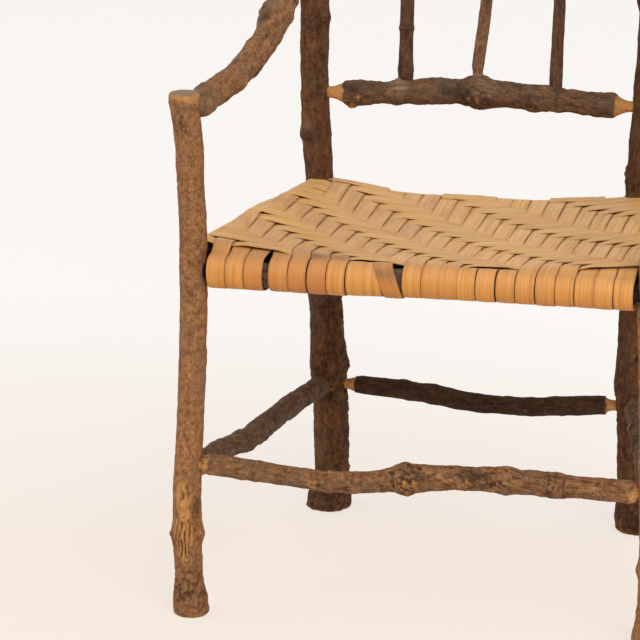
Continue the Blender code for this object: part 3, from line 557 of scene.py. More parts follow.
def addBark(skin, kind, corkTo, corkHeight):
    bark = dict(zip(barkHeights, barkKinds[kind]))
    skin["lift"] += bark["wander"] * skinNoise(skin, barkShapes["wanderSize"], 1, 2)
    lumps = skinNoise(skin, barkShapes["lumpSize"], 2, 3)
    skin["lift"] += bark["lumps"] * lumps
    ribs = skinNoise(skin, barkShapes["ribSizes"], 3, 2)
    cracks = smoothStep(-np.abs(ribs), -barkShapes["crackWidth"], 0.0)
    ribbed = barkShapes["ribHeight"] * ribs - barkShapes["crackDepth"] * cracks
    skin["lift"] += bark["fissure"] * ribbed
    wrinkles = skinNoise(skin, barkShapes["wrinkleSizes"], 4, 2)
    skin["lift"] += bark["wrinkle"] * wrinkles
    grit = skinNoise(skin, barkShapes["gritSize"], 6, 2)
    skin["lift"] += bark["grit"] * grit
    # painted shade: the fine field darkens the finish in the fissures, wrinkles and hollows of this
    # relief
    whole = bark["fissure"] + bark["wrinkle"] + bark["grit"]
    depth = bark["fissure"] * (barkShapes["ribShade"] * ribs - cracks)
    depth = depth + bark["wrinkle"] * wrinkles + bark["grit"] * grit
    skin["fine"] += bark["reliefShadeStrength"] * (depth / whole + barkShapes["lumpShade"] * lumps)
    if corkHeight:  # bumpy bark towards the foot
        cover = fadeOut(skin["along"] / skin["length"], corkTo - corkLook["fade"], corkTo)
        cover = cover * (corkLook["round"] + corkLook["facing"] * np.cos(skin["turn"]))
        cork = skinNoise(skin, corkLook["size"], 8, 2)
        skin["lift"] += corkHeight * cover * cork
        # painted shade in the hollows of the cork
        skin["fine"] += corkLook["shade"] * cover * cork


# A branch: rings of points along the traced line, pushed in and out by bark and marks

branchLook = {  # what a branch has if its own look doesn't say
    "ringStep": 0.0021, "sides": 56, "marks": [],
    "bends": [],        # share of the length, push to the right, back and up, and reach as a share
    "girth": [],        # share of the length, share by which it is thicker, and reach as a share
    "cork": (0, 0),     # how far up it goes, as a share of the length, and its height
    "barkShare": 0.97,  # of the thickness, where the bark ends at a shaved shoulder
}
lineSmooth = 5
seedStep = 0.713  # moves each branch's grain to another part of the noise


def barkSkin(trace, look):
    run, length = trace["run"], trace["length"]
    along = np.linspace(0, length, int(length / look["ringStep"]))
    line = np.stack([np.interp(along, run, trace["line"][:, axis]) for axis in range(3)], axis=1)
    line = smoothed(line, lineSmooth)
    for at, sideways, depth, height, reach in look["bends"]:
        push = bell((along / length - at) / reach)[:, None]
        line = line + push * np.array([sideways, depth, height])
    radius = np.interp(along, run, trace["radius"])
    for at, share, reach in look["girth"]:
        radius = radius * (1 + share * bell((along / length - at) / reach))
    along, radius = along[:, None], radius[:, None]
    turn = np.arange(look["sides"]) * 2 * math.pi / look["sides"]
    sheet = np.ones((len(along), len(turn)))
    space = np.stack([radius * np.cos(turn), radius * np.sin(turn), along * sheet], axis=-1)
    return {
        "line": line, "along": along, "length": length,
        "turn": turn[None, :] * sheet, "radius": radius,
        "space": space + look["seed"] * seedStep, "seed": look["seed"],
        **{field: 0 * sheet for field in ("lift", "fine", "knot", "bare", "sawn")},
    }


def fromEnd(skin, atStart):
    return skin["along"] if atStart else skin["length"] - skin["along"]


def raggedWood(skin, inward, edge, look, offset):  # bare wood up to an uneven line
    ragged = look["ragged"] * skinNoise(skin, look["raggedSizes"], offset, 2)
    return fadeOut(inward + ragged, edge - look["woodFrom"], edge + look["woodTo"])


shaveLook = {
    "tenonFrom": 0.006, "tenonTo": 0.014,  # where the tenon's thickness is read
    "search": 0.050, "slowShare": 0.30,    # how far in the shoulder may be, and where it slows
    "hollow": 1.7,
    "ragged": 0.0016, "raggedSizes": (0.006, 0.006, 0.05), "woodFrom": 0.0012, "woodTo": 0.0008,
    "facetSizes": (0.007, 0.007, 0.016), "facet": 0.0004, "facetShade": 0.25,
    "sink": 0.0007, "flatten": 0.85, "fade": 0.7,
}


def shaveEnd(skin, atStart, trace, barkShare):  # bare whittled wood from the bark to the tenon
    radius = trace["radius"] if atStart else trace["radius"][::-1]
    run = trace["run"] if atStart else trace["length"] - trace["run"][::-1]
    tenon = np.median(radius[(run > shaveLook["tenonFrom"]) & (run < shaveLook["tenonTo"])])
    slope = np.gradient(radius, run) * (run > shaveLook["tenonTo"]) * (run < shaveLook["search"])
    steepest = int(np.argmax(slope))
    flat = steepest + int(np.argmax(slope[steepest:] < shaveLook["slowShare"] * slope[steepest]))
    full = radius[flat]
    edge = tenon + barkShare * (full - tenon)
    shoulder = np.interp(edge, radius[steepest - 2:flat + 1], run[steepest - 2:flat + 1])
    inward = fromEnd(skin, atStart)
    rising = np.clip((skin["radius"] - tenon) / (edge - tenon), 0, 1)
    hollowed = np.minimum(skin["radius"], tenon + (edge - tenon) * rising ** shaveLook["hollow"])
    barked = np.where(inward < run[flat], np.maximum(skin["radius"], full), skin["radius"])
    skin["radius"] = np.where(inward < shoulder, hollowed, barked)  # the bark keeps its thickness
    bare = raggedWood(skin, inward, shoulder, shaveLook, 19)
    facets = skinNoise(skin, shaveLook["facetSizes"], 23, 2)
    skin["lift"] = skin["lift"] * (1 - shaveLook["flatten"] * bare) - shaveLook["sink"] * bare
    skin["lift"] += shaveLook["facet"] * bare * facets
    skin["fine"] = skin["fine"] * (1 - shaveLook["fade"] * bare)
    skin["fine"] += shaveLook["facetShade"] * bare * facets
    skin["knot"] = skin["knot"] * (1 - bare)
    atLeast(skin, "bare", bare)


railEndShade = {"shadeTo": 0.026, "barkFrom": 0.034}


def shadeRailEnd(skin, atStart):  # painted shade: dark where the rail end sits between a post and the weaving
    dark = fadeOut(fromEnd(skin, atStart), railEndShade["shadeTo"], railEndShade["barkFrom"])
    atLeast(skin, "knot", dark + 0 * skin["turn"])


armButt = {"full": 0.055, "post": 0.024, "tip": 0.50}
stretcherButt = {"full": 0.045, "post": 0.020, "tip": 0.60}
spindleButt = {"full": 0.030, "post": 0.018, "tip": 0.70}


def buttEnd(skin, atStart, butt):  # full thickness right up to the joint, and smaller inside it
    inward = fromEnd(skin, atStart)[:, 0]
    radius = skin["radius"][:, 0]
    radius[inward < butt["full"]] = radius[np.argmin(np.abs(inward - butt["full"]))]
    inPost = butt["tip"] + (1 - butt["tip"]) * smoothStep(inward, 0.0, butt["post"])
    skin["radius"] = (radius * inPost)[:, None]


bluntLook = {
    "full": 0.045, "post": 0.0155, "shoulder": 0.0085, "tip": 0.60,
    "ragged": 0.0045, "raggedSizes": 0.011, "woodFrom": 0.0035, "woodTo": 0.0005,
    "wood": 0.9, "sink": 0.0005, "flatten": 0.8,
}


def bluntEnd(skin, atStart):  # thick up to the post, with a rounded shoulder of bare wood
    inward = fromEnd(skin, atStart)
    radius = skin["radius"][:, 0]
    full = radius[np.argmin(np.abs(inward[:, 0] - bluntLook["full"]))]
    share = np.clip((inward[:, 0] - bluntLook["post"]) / bluntLook["shoulder"], 0, 1)
    rounded = bluntLook["tip"] + (1 - bluntLook["tip"]) * np.sqrt(1 - (1 - share) ** 2)
    near = inward[:, 0] < bluntLook["full"]
    radius[near] = full * rounded[near]
    skin["radius"] = radius[:, None]
    bare = raggedWood(skin, inward, bluntLook["post"] + bluntLook["shoulder"], bluntLook, 19)
    skin["lift"] = skin["lift"] * (1 - bluntLook["flatten"] * bare) - bluntLook["sink"] * bare
    atLeast(skin, "bare", bluntLook["wood"] * bare)


rimLook = {
    "ragged": 0.003, "raggedSizes": 0.009, "woodFrom": 0.002, "woodTo": 0.003, "greyShare": 0.6,
}


def sawEnd(skin, atStart, look):  # a rounded rim, worn bare, and a band of bare wood below it
    inward = fromEnd(skin, atStart)
    rounding = look["rim"] * (1 - np.sqrt(np.clip(1 - (1 - inward / look["rim"]) ** 2, 0, 1)))
    skin["lift"] -= np.where(inward < look["rim"], rounding, 0)
    atLeast(skin, "bare", look["worn"] * raggedWood(skin, inward, look["band"], rimLook, 29))
    atLeast(skin, "sawn", look["grey"] * fadeOut(inward, 0.0, rimLook["greyShare"] * look["rim"]))


levelEnds = {"level": 0.004, "free": 0.030}  # from a level end to the branch's own heading
capShares = [0.03, 0.30, 0.58, 0.82, 0.95]   # rings across an end face


def headings(skin, sawnLevel):
    heading = unit(np.gradient(skin["line"], axis=0))
    if sawnLevel:
        inward = np.minimum(skin["along"], skin["length"] - skin["along"])
        level = fadeOut(inward, levelEnds["level"], levelEnds["free"])
        heading = unit(heading * (1 - level) + zAxis * level)
    return heading


def ringMesh(name, grid, order):  # closed rings of points, with a face on each end
    rings, sides = grid.shape[:2]
    index = np.arange(rings * sides).reshape(rings, sides)
    following = np.roll(index, -1, axis=1)
    others = [following[:-1], following[1:], index[1:]][::order]
    quads = np.stack([index[:-1], *others], axis=-1).reshape(-1, 4)
    faces = [*quads.tolist(), index[0][::-order].tolist(), index[-1][::order].tolist()]
    mesh = bpy.data.meshes.new(name)
    mesh.from_pydata(grid.reshape(-1, 3).tolist(), [], faces)
    mesh.shade_smooth()
    return mesh


def addAttribute(mesh, name, values):
    if values.ndim == 3:
        layer, field = mesh.attributes.new(name, "FLOAT_VECTOR", "POINT"), "vector"
    else:
        layer, field = mesh.attributes.new(name, "FLOAT", "POINT"), "value"
    layer.data.foreach_set(field, values.astype(np.float32).ravel())


def branchMesh(name, skin, sawnLevel, upright, capSawn):
    heading = headings(skin, sawnLevel)
    reference = xAxis if upright else zAxis
    first = unit(reference - (heading @ reference)[:, None] * heading)
    second = np.cross(heading, first)
    reach = skin["radius"] + skin["lift"]
    wall = skin["line"][:, None, :] + (
        (reach * np.cos(skin["turn"]))[..., None] * first[:, None, :]
        + (reach * np.sin(skin["turn"]))[..., None] * second[:, None, :]
    )
    spots, spaces = [wall], [skin["space"]]
    for end in (0, -1):
        middle = wall[end].mean(axis=0)
        core = np.array([0, 0, skin["along"][end, 0]]) + skin["seed"] * seedStep
        for share in capShares[::-1]:  # from the wall inwards
            place = 0 if end == 0 else len(spots)
            spots.insert(place, (middle + share * (wall[end] - middle))[None])
            spaces.insert(place, (core + share * (skin["space"][end] - core))[None])
    blank = np.zeros((len(capShares), wall.shape[1]))
    mesh = ringMesh(name, np.concatenate(spots), 1)
    addAttribute(mesh, "grainSpace", np.concatenate(spaces))
    # painted shade: the fine field, darker in the bark's hollows, kept for the finish
    reliefShade = np.concatenate([blank, skin["fine"], blank])
    addAttribute(mesh, "reliefShade", np.clip(0.5 + 0.5 * reliefShade, 0, 1))
    for field, onCap in (("knot", 0.0), ("bare", 0.0), ("sawn", capSawn)):
        values = np.concatenate([blank + onCap, skin[field], blank + onCap])
        addAttribute(mesh, field, np.clip(values, 0, 1))
    return mesh


def placePiece(name, mesh, finish, node):
    mesh.materials.append(finish)
    piece = bpy.data.objects.new(name, mesh)
    bpy.context.scene.collection.objects.link(piece)
    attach(piece, "root")
    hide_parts(node)


def growBranch(node, look):
    look = {**branchLook, **look}
    trace = traces[node]
    skin = barkSkin(trace, look)
    ends = list(zip(look["ends"], (True, False)))
    for end, atStart in ends:
        if end == "butted":
            buttEnd(skin, atStart, look["butt"])
    addBark(skin, look["bark"], *look["cork"])
    for mark in [*look["marks"], *sockets.get(node, [])]:
        addMark(skin, *mark)
    for end, atStart in ends:
        if end == "shaved":
            shaveEnd(skin, atStart, trace, look["barkShare"])
        elif end == "shaded":
            shadeRailEnd(skin, atStart)
        elif end == "blunt":
            bluntEnd(skin, atStart)
        elif isinstance(end, dict):
            sawEnd(skin, atStart, end)
    capSawn = 0.0 if "butt" in look else 1.0
    mesh = branchMesh("branch_" + node, skin, node.endswith("_post"), trace["upright"], capSawn)
    placePiece("branch_" + node, mesh, barkFinishes[look["finish"]], node)


# Where the tenons enter the posts and crosspieces

socketLook = {"gap": 0.0009, "depth": 0.0022, "ahead": 3}  # sections from a tip to where it heads
sockets = {}


def addSocket(holder, tip, heading, tenonRadius):
    trace = traces[holder]
    nearest = np.argmin(np.linalg.norm(trace["line"] - tip, axis=1))
    axis = unit(np.gradient(trace["line"], axis=0))[nearest]
    flat = heading - (heading @ axis) * axis
    mouth = tip + heading * trace["radius"][nearest] / np.linalg.norm(flat)
    nearest = np.argmin(np.linalg.norm(trace["line"] - mouth, axis=1))
    reference = xAxis if trace["upright"] else zAxis
    first = unit(reference - (reference @ axis) * axis)
    turn = math.degrees(math.atan2(flat @ np.cross(axis, first), flat @ first))
    share = trace["run"][nearest] / trace["length"]
    mark = ("socket", share, turn, tenonRadius + socketLook["gap"], socketLook["depth"])
    sockets.setdefault(holder, []).append(mark)


def socketsOf(node, holders):
    line, radius = traces[node]["line"], traces[node]["radius"]
    ahead = socketLook["ahead"]
    for holder, end, inner in zip(holders, (0, -1), (ahead, -1 - ahead)):
        addSocket(holder, line[end], unit(line[inner] - line[end]), radius[end])


for side in ("left", "right"):
    for kind in ("side_stretcher", "seat_rail"):
        socketsOf(f"{side}_{kind}", (f"front_{side}_post", f"rear_{side}_post"))
for row in ("front", "rear"):
    for kind in ("seat_rail", "stretcher"):
        socketsOf(f"{row}_{kind}", (f"{row}_left_post", f"{row}_right_post"))
for level in ("lower", "upper"):
    socketsOf(f"back_{level}_crosspiece", ("rear_left_post", "rear_right_post"))
for number in (1, 2, 3):
    socketsOf(f"back_spindle_{number}", ("back_lower_crosspiece", "back_upper_crosspiece"))
print("sockets placed:", sum(len(marks) for marks in sockets.values()))


# Posts

footSawn = {"rim": 0.0024, "band": 0.003, "worn": 0.25, "grey": 0.3}
armTopSawn = {"rim": 0.0016, "band": 0.0060, "worn": 0.62, "grey": 0.5}
backTopSawn = {"rim": 0.0016, "band": 0.004, "worn": 0.5, "grey": 0.5}
postKinds = {
    "front": {"bark": "fine", "finish": "frontPostBark", "ends": (footSawn, armTopSawn)},
    "rear": {"bark": "ribbed", "finish": "rearPostBark", "ends": (footSawn, backTopSawn)},
}
postLooks = {
    "front_left_post": {
        "seed": 3, "cork": (0.13, 0.0006),
        "marks": [
            ("ring", 0.156, 185, 0.0050, 0.0015), ("bump", 0.156, 0, 0.009, 0.0010),
            ("whorl", 0.158, 330, 0.008, 0.0014), ("rubbed", 0.238, 268, 0.0130, 0.0008),
            ("flecked", 0.192, 278, 0.0110, 0.0005), ("torn", 0.147, 271, 0.0235, 0.0014),
            ("shade", 0.215, 326, 0.0075, 0.62), ("shade", 0.150, 232, 0.0050, 0.55),
            ("eye", 0.060, 284, 0.0045, 0.0011), ("crackle", 0.05, 262, 0.024, 0.0011),
            ("crackle", 0.03, 330, 0.020, 0.0010), ("shade", 0.020, 250, 0.0300, 0.30),
            ("shade", 0.050, 330, 0.0200, 0.30), ("crackle", 0.945, 262, 0.013, 0.0008),
            ("shade", 0.945, 262, 0.0045, 0.5), ("shade", 0.640, 268, 0.0050, 0.35),
            ("shade", 0.830, 283, 0.1000, 0.14), ("shade", 0.550, 272, 0.0050, 0.35),
            ("bump", 0.50, 0, 0.012, 0.0006),
        ],
        "girth": [(0.985, 0.055, 0.020), (0.0, 0.06, 0.022)],
        "bends": [(1.0, -0.0012, 0.0, 0.0, 0.05), (0.0, 0.0010, 0.0, 0.0, 0.03)],
    },
    "front_right_post": {
        "seed": 11, "cork": (0.12, 0.0006),
        "marks": [
            ("eye", 0.52, 20, 0.006, 0.0016), ("whorl", 0.30, 250, 0.011, 0.0018),
            ("ring", 0.153, 300, 0.0055, 0.0015), ("crackle", 0.04, 280, 0.024, 0.0012),
            ("worn", 0.78, 290, 0.009, 0.0006), ("whorl", 0.95, 200, 0.010, 0.0012),
            ("crackle", 0.62, 270, 0.026, 0.0007),
        ],
    },
    "rear_left_post": {
        "seed": 19, "cork": (0.37, 0.0017),
        "girth": [(0.036, -0.09, 0.024)], "bends": [(0.036, 0.0024, 0.0, 0.0, 0.024)],
        "marks": [
            ("whorl", 0.643, 315, 0.0115, 0.0034), ("shade", 0.642, 300, 0.0060, 0.45),
            ("eye", 0.644, 318, 0.0040, 0.0010), ("bump", 0.643, 345, 0.007, 0.0022),
            ("whorl", 0.555, 302, 0.0100, 0.0026), ("shade", 0.554, 300, 0.0060, 0.45),
            ("eye", 0.556, 304, 0.0036, 0.0009), ("bump", 0.550, 190, 0.006, 0.0012),
            ("whorl", 0.507, 246, 0.0100, 0.0024), ("grey", 0.512, 246, 0.0050, 0.45),
            ("shade", 0.502, 252, 0.0060, 0.45), ("eye", 0.505, 250, 0.0034, 0.0008),
            ("ring", 0.4985, 262, 0.0026, 0.0006), ("bump", 0.502, 200, 0.007, 0.0016),
            ("eye", 0.168, 287, 0.0065, 0.0020), ("crackle", 0.180, 285, 0.024, 0.0016),
            ("bump", 0.200, 2, 0.010, 0.0022), ("crackle", 0.30, 320, 0.030, 0.0010),
            ("crackle", 0.02, 270, 0.030, 0.0016), ("eye", 0.82, 250, 0.006, 0.0016),
            ("whorl", 0.90, 20, 0.012, 0.0024),
        ],
    },
    "rear_right_post": {
        "seed": 23, "cork": (0.34, 0.0012),
        "marks": [
            ("whorl", 0.47, 190, 0.012, 0.0026), ("whorl", 0.68, 240, 0.012, 0.0030),
            ("bump", 0.68, 190, 0.009, 0.0028), ("eye", 0.24, 290, 0.007, 0.0018),
            ("crackle", 0.17, 260, 0.030, 0.0014), ("crackle", 0.02, 280, 0.030, 0.0018),
            ("whorl", 0.86, 300, 0.011, 0.0024), ("eye", 0.58, 60, 0.007, 0.0018),
        ],
    },
}
for node, look in postLooks.items():
    growBranch(node, {**postKinds[node.split("_")[0]], **look})
print("posts done")


# Arms

armKind = {"bark": "smooth", "finish": "armBark", "ends": ("butted", "butted"), "butt": armButt}
armLooks = {
    "left_arm": {
        "seed": 31,
        "bends": [(0.0, 0.0078, -0.0072, 0.0, 0.085), (0.0, 0.0, 0.0, 0.0046, 0.043)],
        "marks": [
            ("grey", 0.050, 18, 0.0060, 0.24), ("eye", 0.060, 28, 0.0036, 0.0009),
            ("bump", 0.094, 124, 0.0095, 0.0022), ("shade", 0.030, 30, 0.0060, 0.45),
            ("bump", 0.118, 345, 0.0075, 0.0026), ("shade", 0.105, 343, 0.0050, 0.6),
            ("eye", 0.287, 8, 0.0034, 0.0010), ("shade", 0.325, 358, 0.0034, 0.7),
            ("bump", 0.290, 112, 0.0100, 0.0016), ("bump", 0.385, 128, 0.0100, 0.0024),
            ("shade", 0.385, 118, 0.0055, 0.65), ("eye", 0.497, 352, 0.0034, 0.0014),
            ("shade", 0.500, 22, 0.0045, 0.5), ("eye", 0.497, 66, 0.0048, 0.0015),
            ("grey", 0.484, 76, 0.0034, 0.35), ("bump", 0.656, 102, 0.0090, 0.0030),
            ("bump", 0.642, 300, 0.0140, 0.0042), ("whorl", 0.648, 318, 0.0100, 0.0022),
            ("grey", 0.655, 340, 0.0034, 0.35), ("shade", 0.596, 340, 0.0062, 0.8),
            ("ring", 0.72, 90, 0.006, 0.0012), ("eye", 0.78, 20, 0.0075, 0.0026),
            ("eye", 0.80, 110, 0.0070, 0.0024), ("bump", 0.79, 350, 0.012, 0.0036),
            ("ring", 0.86, 90, 0.005, 0.0012), ("worn", 0.92, 120, 0.012, 0.0010),
        ],
    },
    "right_arm": {
        "seed": 37,
        "bends": [(0.0, -0.0078, -0.0072, 0.0, 0.085), (0.0, 0.0, 0.0, 0.0046, 0.043)],
        "marks": [
            ("whorl", 0.10, 300, 0.013, 0.0030), ("eye", 0.38, 100, 0.006, 0.0016),
            ("bump", 0.66, 150, 0.013, 0.0030), ("crackle", 0.64, 200, 0.024, 0.0014),
            ("eye", 0.76, 300, 0.0075, 0.0024), ("ring", 0.84, 270, 0.005, 0.0012),
            ("worn", 0.52, 0, 0.012, 0.0008),
        ],
    },
}
for node, look in armLooks.items():
    growBranch(node, {**armKind, **look})
print("arms done")


# Stretchers

sideStretcher = {
    "bark": "wrinkled", "finish": "sideStretcherBark",
    "ends": ("shaved", "butted"), "butt": stretcherButt,
}
stretcherLooks = {
    "front_stretcher": {
        "seed": 41, "bark": "plain", "finish": "frontStretcherBark", "ends": ("blunt", "blunt"),
        "marks": [
            ("ring", 0.149, 90, 0.0035, 0.0006), ("whorl", 0.151, 85, 0.0055, 0.0008),
            ("flecked", 0.275, 105, 0.0085, 0.0004), ("ring", 0.308, 80, 0.0035, 0.0006),
            ("whorl", 0.310, 75, 0.0070, 0.0012), ("crackle", 0.478, 75, 0.022, 0.0024),
            ("crackle", 0.470, 175, 0.020, 0.0020), ("flecked", 0.484, 88, 0.0090, 0.0008),
            ("speckled", 0.482, 50, 0.0220, 0.0007), ("speckled", 0.595, 62, 0.0240, 0.0004),
            ("speckled", 0.690, 55, 0.0260, 0.0004), ("bump", 0.474, 10, 0.014, 0.0020),
            ("bump", 0.502, 10, 0.010, 0.0014), ("bump", 0.470, 170, 0.010, 0.0016),
            ("shade", 0.502, 75, 0.0070, 0.65), ("shade", 0.620, 60, 0.0080, 0.5),
            ("crackle", 0.630, 90, 0.030, 0.0010), ("ring", 0.80, 90, 0.010, 0.0014),
            ("crackle", 0.80, 90, 0.024, 0.0014),
        ],
    },
    "left_side_stretcher": {
        **sideStretcher, "seed": 43,
        "marks": [
            ("ring", 0.10, 90, 0.006, 0.0018), ("bump", 0.40, 150, 0.008, 0.0020),
            ("ring", 0.36, 60, 0.006, 0.0014), ("bump", 0.74, 40, 0.007, 0.0020),
            ("bump", 0.70, 190, 0.009, 0.0026), ("crackle", 0.55, 180, 0.030, 0.0014),
        ],
    },
    "right_side_stretcher": {
        **sideStretcher, "seed": 47,
        "marks": [
            ("stub", 0.35, 200, 0.006, 0.0030), ("ring", 0.52, 270, 0.006, 0.0014),
            ("stub", 0.66, 300, 0.006, 0.0034), ("crackle", 0.20, 240, 0.028, 0.0012),
        ],
    },
    "rear_stretcher": {
        "seed": 53, "bark": "ribbed", "finish": "rearStretcherBark", "ends": ("shaved", "shaved"),
        "barkShare": 0.55,
        "bends": [(0.25, 0.0, 0.0, -0.0030, 0.25)],
        "girth": [(0.10, 0.09, 0.09), (0.286, -0.08, 0.035), (0.60, -0.13, 0.13)],
        "marks": [
            ("bump", 0.335, 0, 0.012, 0.0020), ("bump", 0.236, 0, 0.006, 0.0012),
            ("bump", 0.262, 178, 0.008, 0.0012), ("whorl", 0.235, 80, 0.009, 0.0012),
            ("whorl", 0.66, 100, 0.010, 0.0016),
        ],
    },
}
for node, look in stretcherLooks.items():
    growBranch(node, look)
print("stretchers done")


# Seat rails, mostly hidden in the weaving

# painted shade on the rail ends, next to the posts
railKind = {"bark": "plain", "ends": ("shaded", "shaded"), "ringStep": 0.004, "sides": 36}
crossRail = {**railKind, "finish": "sideStretcherBark", "girth": [(0.5, -0.16, 9.0)]}
sideRail = {
    **railKind, "finish": "rearStretcherBark",
    "bends": [(1.0, 0.0, 0.0, -0.0050, 0.6)], "girth": [(0.5, -0.14, 9.0)],
}
railLooks = {
    "front_seat_rail": {
        **crossRail, "seed": 59, "bends": [(0.2, 0.0, 0.0, -0.0020, 0.35)],
        "marks": [("bump", 0.128, 0, 0.009, 0.0045)],
    },
    "rear_seat_rail": {**crossRail, "seed": 60},
    "left_seat_rail": {**sideRail, "seed": 61},
    "right_seat_rail": {**sideRail, "seed": 62},
}
for node, look in railLooks.items():
    growBranch(node, look)
print("rails done")


# Back

crosspiece = {"bark": "knobbly", "finish": "crosspieceBark", "ends": ("shaved", "shaved")}
spindle = {"bark": "twig", "ends": ("butted", "butted"), "butt": spindleButt, "sides": 40}
backLooks = {
    "back_lower_crosspiece": {
        **crosspiece, "seed": 71,
        "marks": [
            ("stub", 0.112, 150, 0.0050, 0.0026), ("whorl", 0.112, 120, 0.010, 0.0016),
            ("shade", 0.112, 70, 0.0100, 0.55), ("speckled", 0.124, 118, 0.0090, 0.0006),
            ("bump", 0.262, 0, 0.0085, 0.0046), ("grey", 0.262, 45, 0.0110, 0.55),
            ("bump", 0.252, 180, 0.006, 0.0018), ("ring", 0.256, 110, 0.0030, 0.0004),
            ("bump", 0.385, 0, 0.030, 0.0022), ("crackle", 0.50, 100, 0.024, 0.0024),
            ("speckled", 0.492, 90, 0.0170, 0.0006), ("shade", 0.465, 75, 0.0090, 0.6),
            ("shade", 0.490, 110, 0.0120, 0.6), ("shade", 0.530, 120, 0.0080, 0.45),
            ("bump", 0.50, 0, 0.014, 0.0034), ("grey", 0.515, 40, 0.0150, 0.38),
            ("bump", 0.49, 180, 0.014, 0.0022), ("bump", 0.735, 0, 0.010, 0.0036),
            ("whorl", 0.66, 110, 0.010, 0.0016),
        ],
    },
    "back_upper_crosspiece": {
        **crosspiece, "seed": 73,
        "marks": [
            ("crackle", 0.36, 80, 0.024, 0.0020), ("eye", 0.36, 70, 0.007, 0.0020),
            ("bump", 0.24, 180, 0.012, 0.0026), ("bump", 0.52, 180, 0.012, 0.0026),
            ("bump", 0.76, 180, 0.012, 0.0026), ("whorl", 0.66, 60, 0.011, 0.0020),
            ("stub", 0.86, 320, 0.0055, 0.0030),
        ],
    },
    "back_spindle_1": {
        **spindle, "seed": 79, "finish": "spindleBark",
        "girth": [(0.25, 0.16, 0.20)],
        "marks": [
            ("ring", 0.213, 270, 0.0040, 0.0012), ("shade", 0.205, 285, 0.0045, 0.6),
            ("bump", 0.082, 200, 0.007, 0.0010), ("bump", 0.082, 350, 0.006, 0.0012),
        ],
    },
    "back_spindle_2": {
        **spindle, "seed": 80, "finish": "paleSpindleBark",
        "girth": [(0.06, -0.14, 0.08)],
        "bends": [(0.09, -0.0046, 0.0, 0.0, 0.13)],
        "marks": [
            ("band", 0.064, 270, 0.0024, 0.0002), ("eye", 0.162, 215, 0.0013, 0.0006),
            ("eye", 0.150, 345, 0.0014, 0.0008), ("eye", 0.095, 235, 0.0014, 0.0005),
            ("ring", 0.52, 270, 0.0035, 0.0010),
        ],
    },
    "back_spindle_3": {
        **spindle, "seed": 81, "finish": "spindleBark",
        "marks": [("ring", 0.34, 270, 0.0035, 0.0011), ("stub", 0.60, 230, 0.0024, 0.0016)],
    },
}
for node, look in backLooks.items():
    growBranch(node, look)
print("back done")


# Woven seat: warps run from front to back, wefts from side to side

seatLook = {
    "top": 0.0016, "under": -0.0024,           # height over and under a crossing strip
    "warpEdge": -0.0001, "weftEdge": -0.0011,  # where a strip starts its way over the next ones
    "warpRise": 0.011, "weftRise": 0.018,      # length of that climb
    "riseFrom": -0.003,
    "dive": 0.0035,                            # length of the steep way down
    "repeat": 6, "over": 3,                    # the twill
    "sag": 0.0135, "waveHeight": 0.0010, "waveSize": 0.07,
    "sideRise": 2.2,       # how steeply the seat climbs to the side rails
    "sideDrop": 0.0050,    # how far the side rails fall to the back
    "railGap": 0.0010,     # rail to the middle of a strip's thickness
    "gap": 0.0008,         # between two strips side by side
    "halfChance": (-0.0003, 0.0002),  # how far half a strip's width may differ
    "topStep": 0.0026, "underStep": 0.0052,
    "underBlend": 0.045,   # length in which the side rails' height fades out, below
    "underOverlap": 0.0018,
    "endGap": 0.0008,      # from the middle of the seat to a strip's end, below
    "slopeStep": 0.004,    # how far to each side the seat's slope is measured
    "seed": 101,
}
# Where the weaving bulges: place across and back, how far that reaches, and its height
seatBulges = [
    (-0.218, -0.026, 0.052, 0.046, 0.0046),
    (-0.163, 0.122, 0.034, 0.040, 0.0034),
]
warpLook = {
    "lift": (0, 0.0007),   # how far a warp may stand off the front rail
    "turnIn": 0.024,       # length in which it leaves that rail and joins the weaving
    "sideGap": 0.004, "leastUnder": 3,         # a short one ends at the side rail or under 3 wefts
    "tuck": 0.010, "underTuck": -0.006,        # how far its ends go past the last weft it crosses
    "sideReach": 0.003, "leastHalf": 0.003,    # its outer edge beside the side rail
    "rearFade": 0.007,     # length in which a long one comes onto the rear rail
    "onRail": -0.0008,     # its height between the last row and that rail
    "besidePost": 0.0026, "postFade": 0.008,   # the outer long ones are wider there
    "wander": ((0.0005, 0.09, 7), (0.0002, 0.03, 57)),  # amount, length and seed of each wave
    "rollHoney": 0.60, "frontHoney": 0.40, "honeyTo": 0.05, "underHoney": 0.25,
    "pinkWarps": 9, "pink": (0.45, 0.75), "palePink": (0.0, 0.25), "brown": 0.1,
}
weftLook = {
    "rearSpread": 0.007, "spreadFrom": 9,  # the last wefts are spread further back
    "tailWidth": 0.0150, "tailTop": 0.0011,  # the last one comes round once more onto the rear rail
    "loose": 0.0004, "bow": 1.6,           # how far they stand off the left rail
    "weaveFrom": -0.002, "weaveTo": 0.016, "underFrom": 0.004, "underTo": 0.030,
    "slack": 0.0006, "slackTo": 0.02,
    "skewStep": 0.01, "skewTo": 0.02,      # the slanting rails turn the strips
    "lapFrom": -0.004, "lapTo": 0.006,     # where they start to overlap, round the rail
    "wander": ((0.0006, 0.10, 211), (0.00025, 0.03, 311)),
    "pink": (0.0, 0.3), "brown": (0.0, 0.4), "honey": (0.1, 0.6),
}
# How far each warp slips to the right at the front rail, in millimetres
frontSlip = [
    0.9, 0.4, 0.2, 6.6, 6.8, 7.0, 6.9, 6.6, 4.4, 5.3, 5.0,
    4.7, 1.0, 0.2, 0.4, 1.0, 0.8, 0.9, 1.0, 0.9, 0.6, 0.2,
]
frontSlipFade = 0.045
frontSlim = {"amount": 0.0014, "from": -0.09, "to": 0.02}  # the roll gets thinner to the right
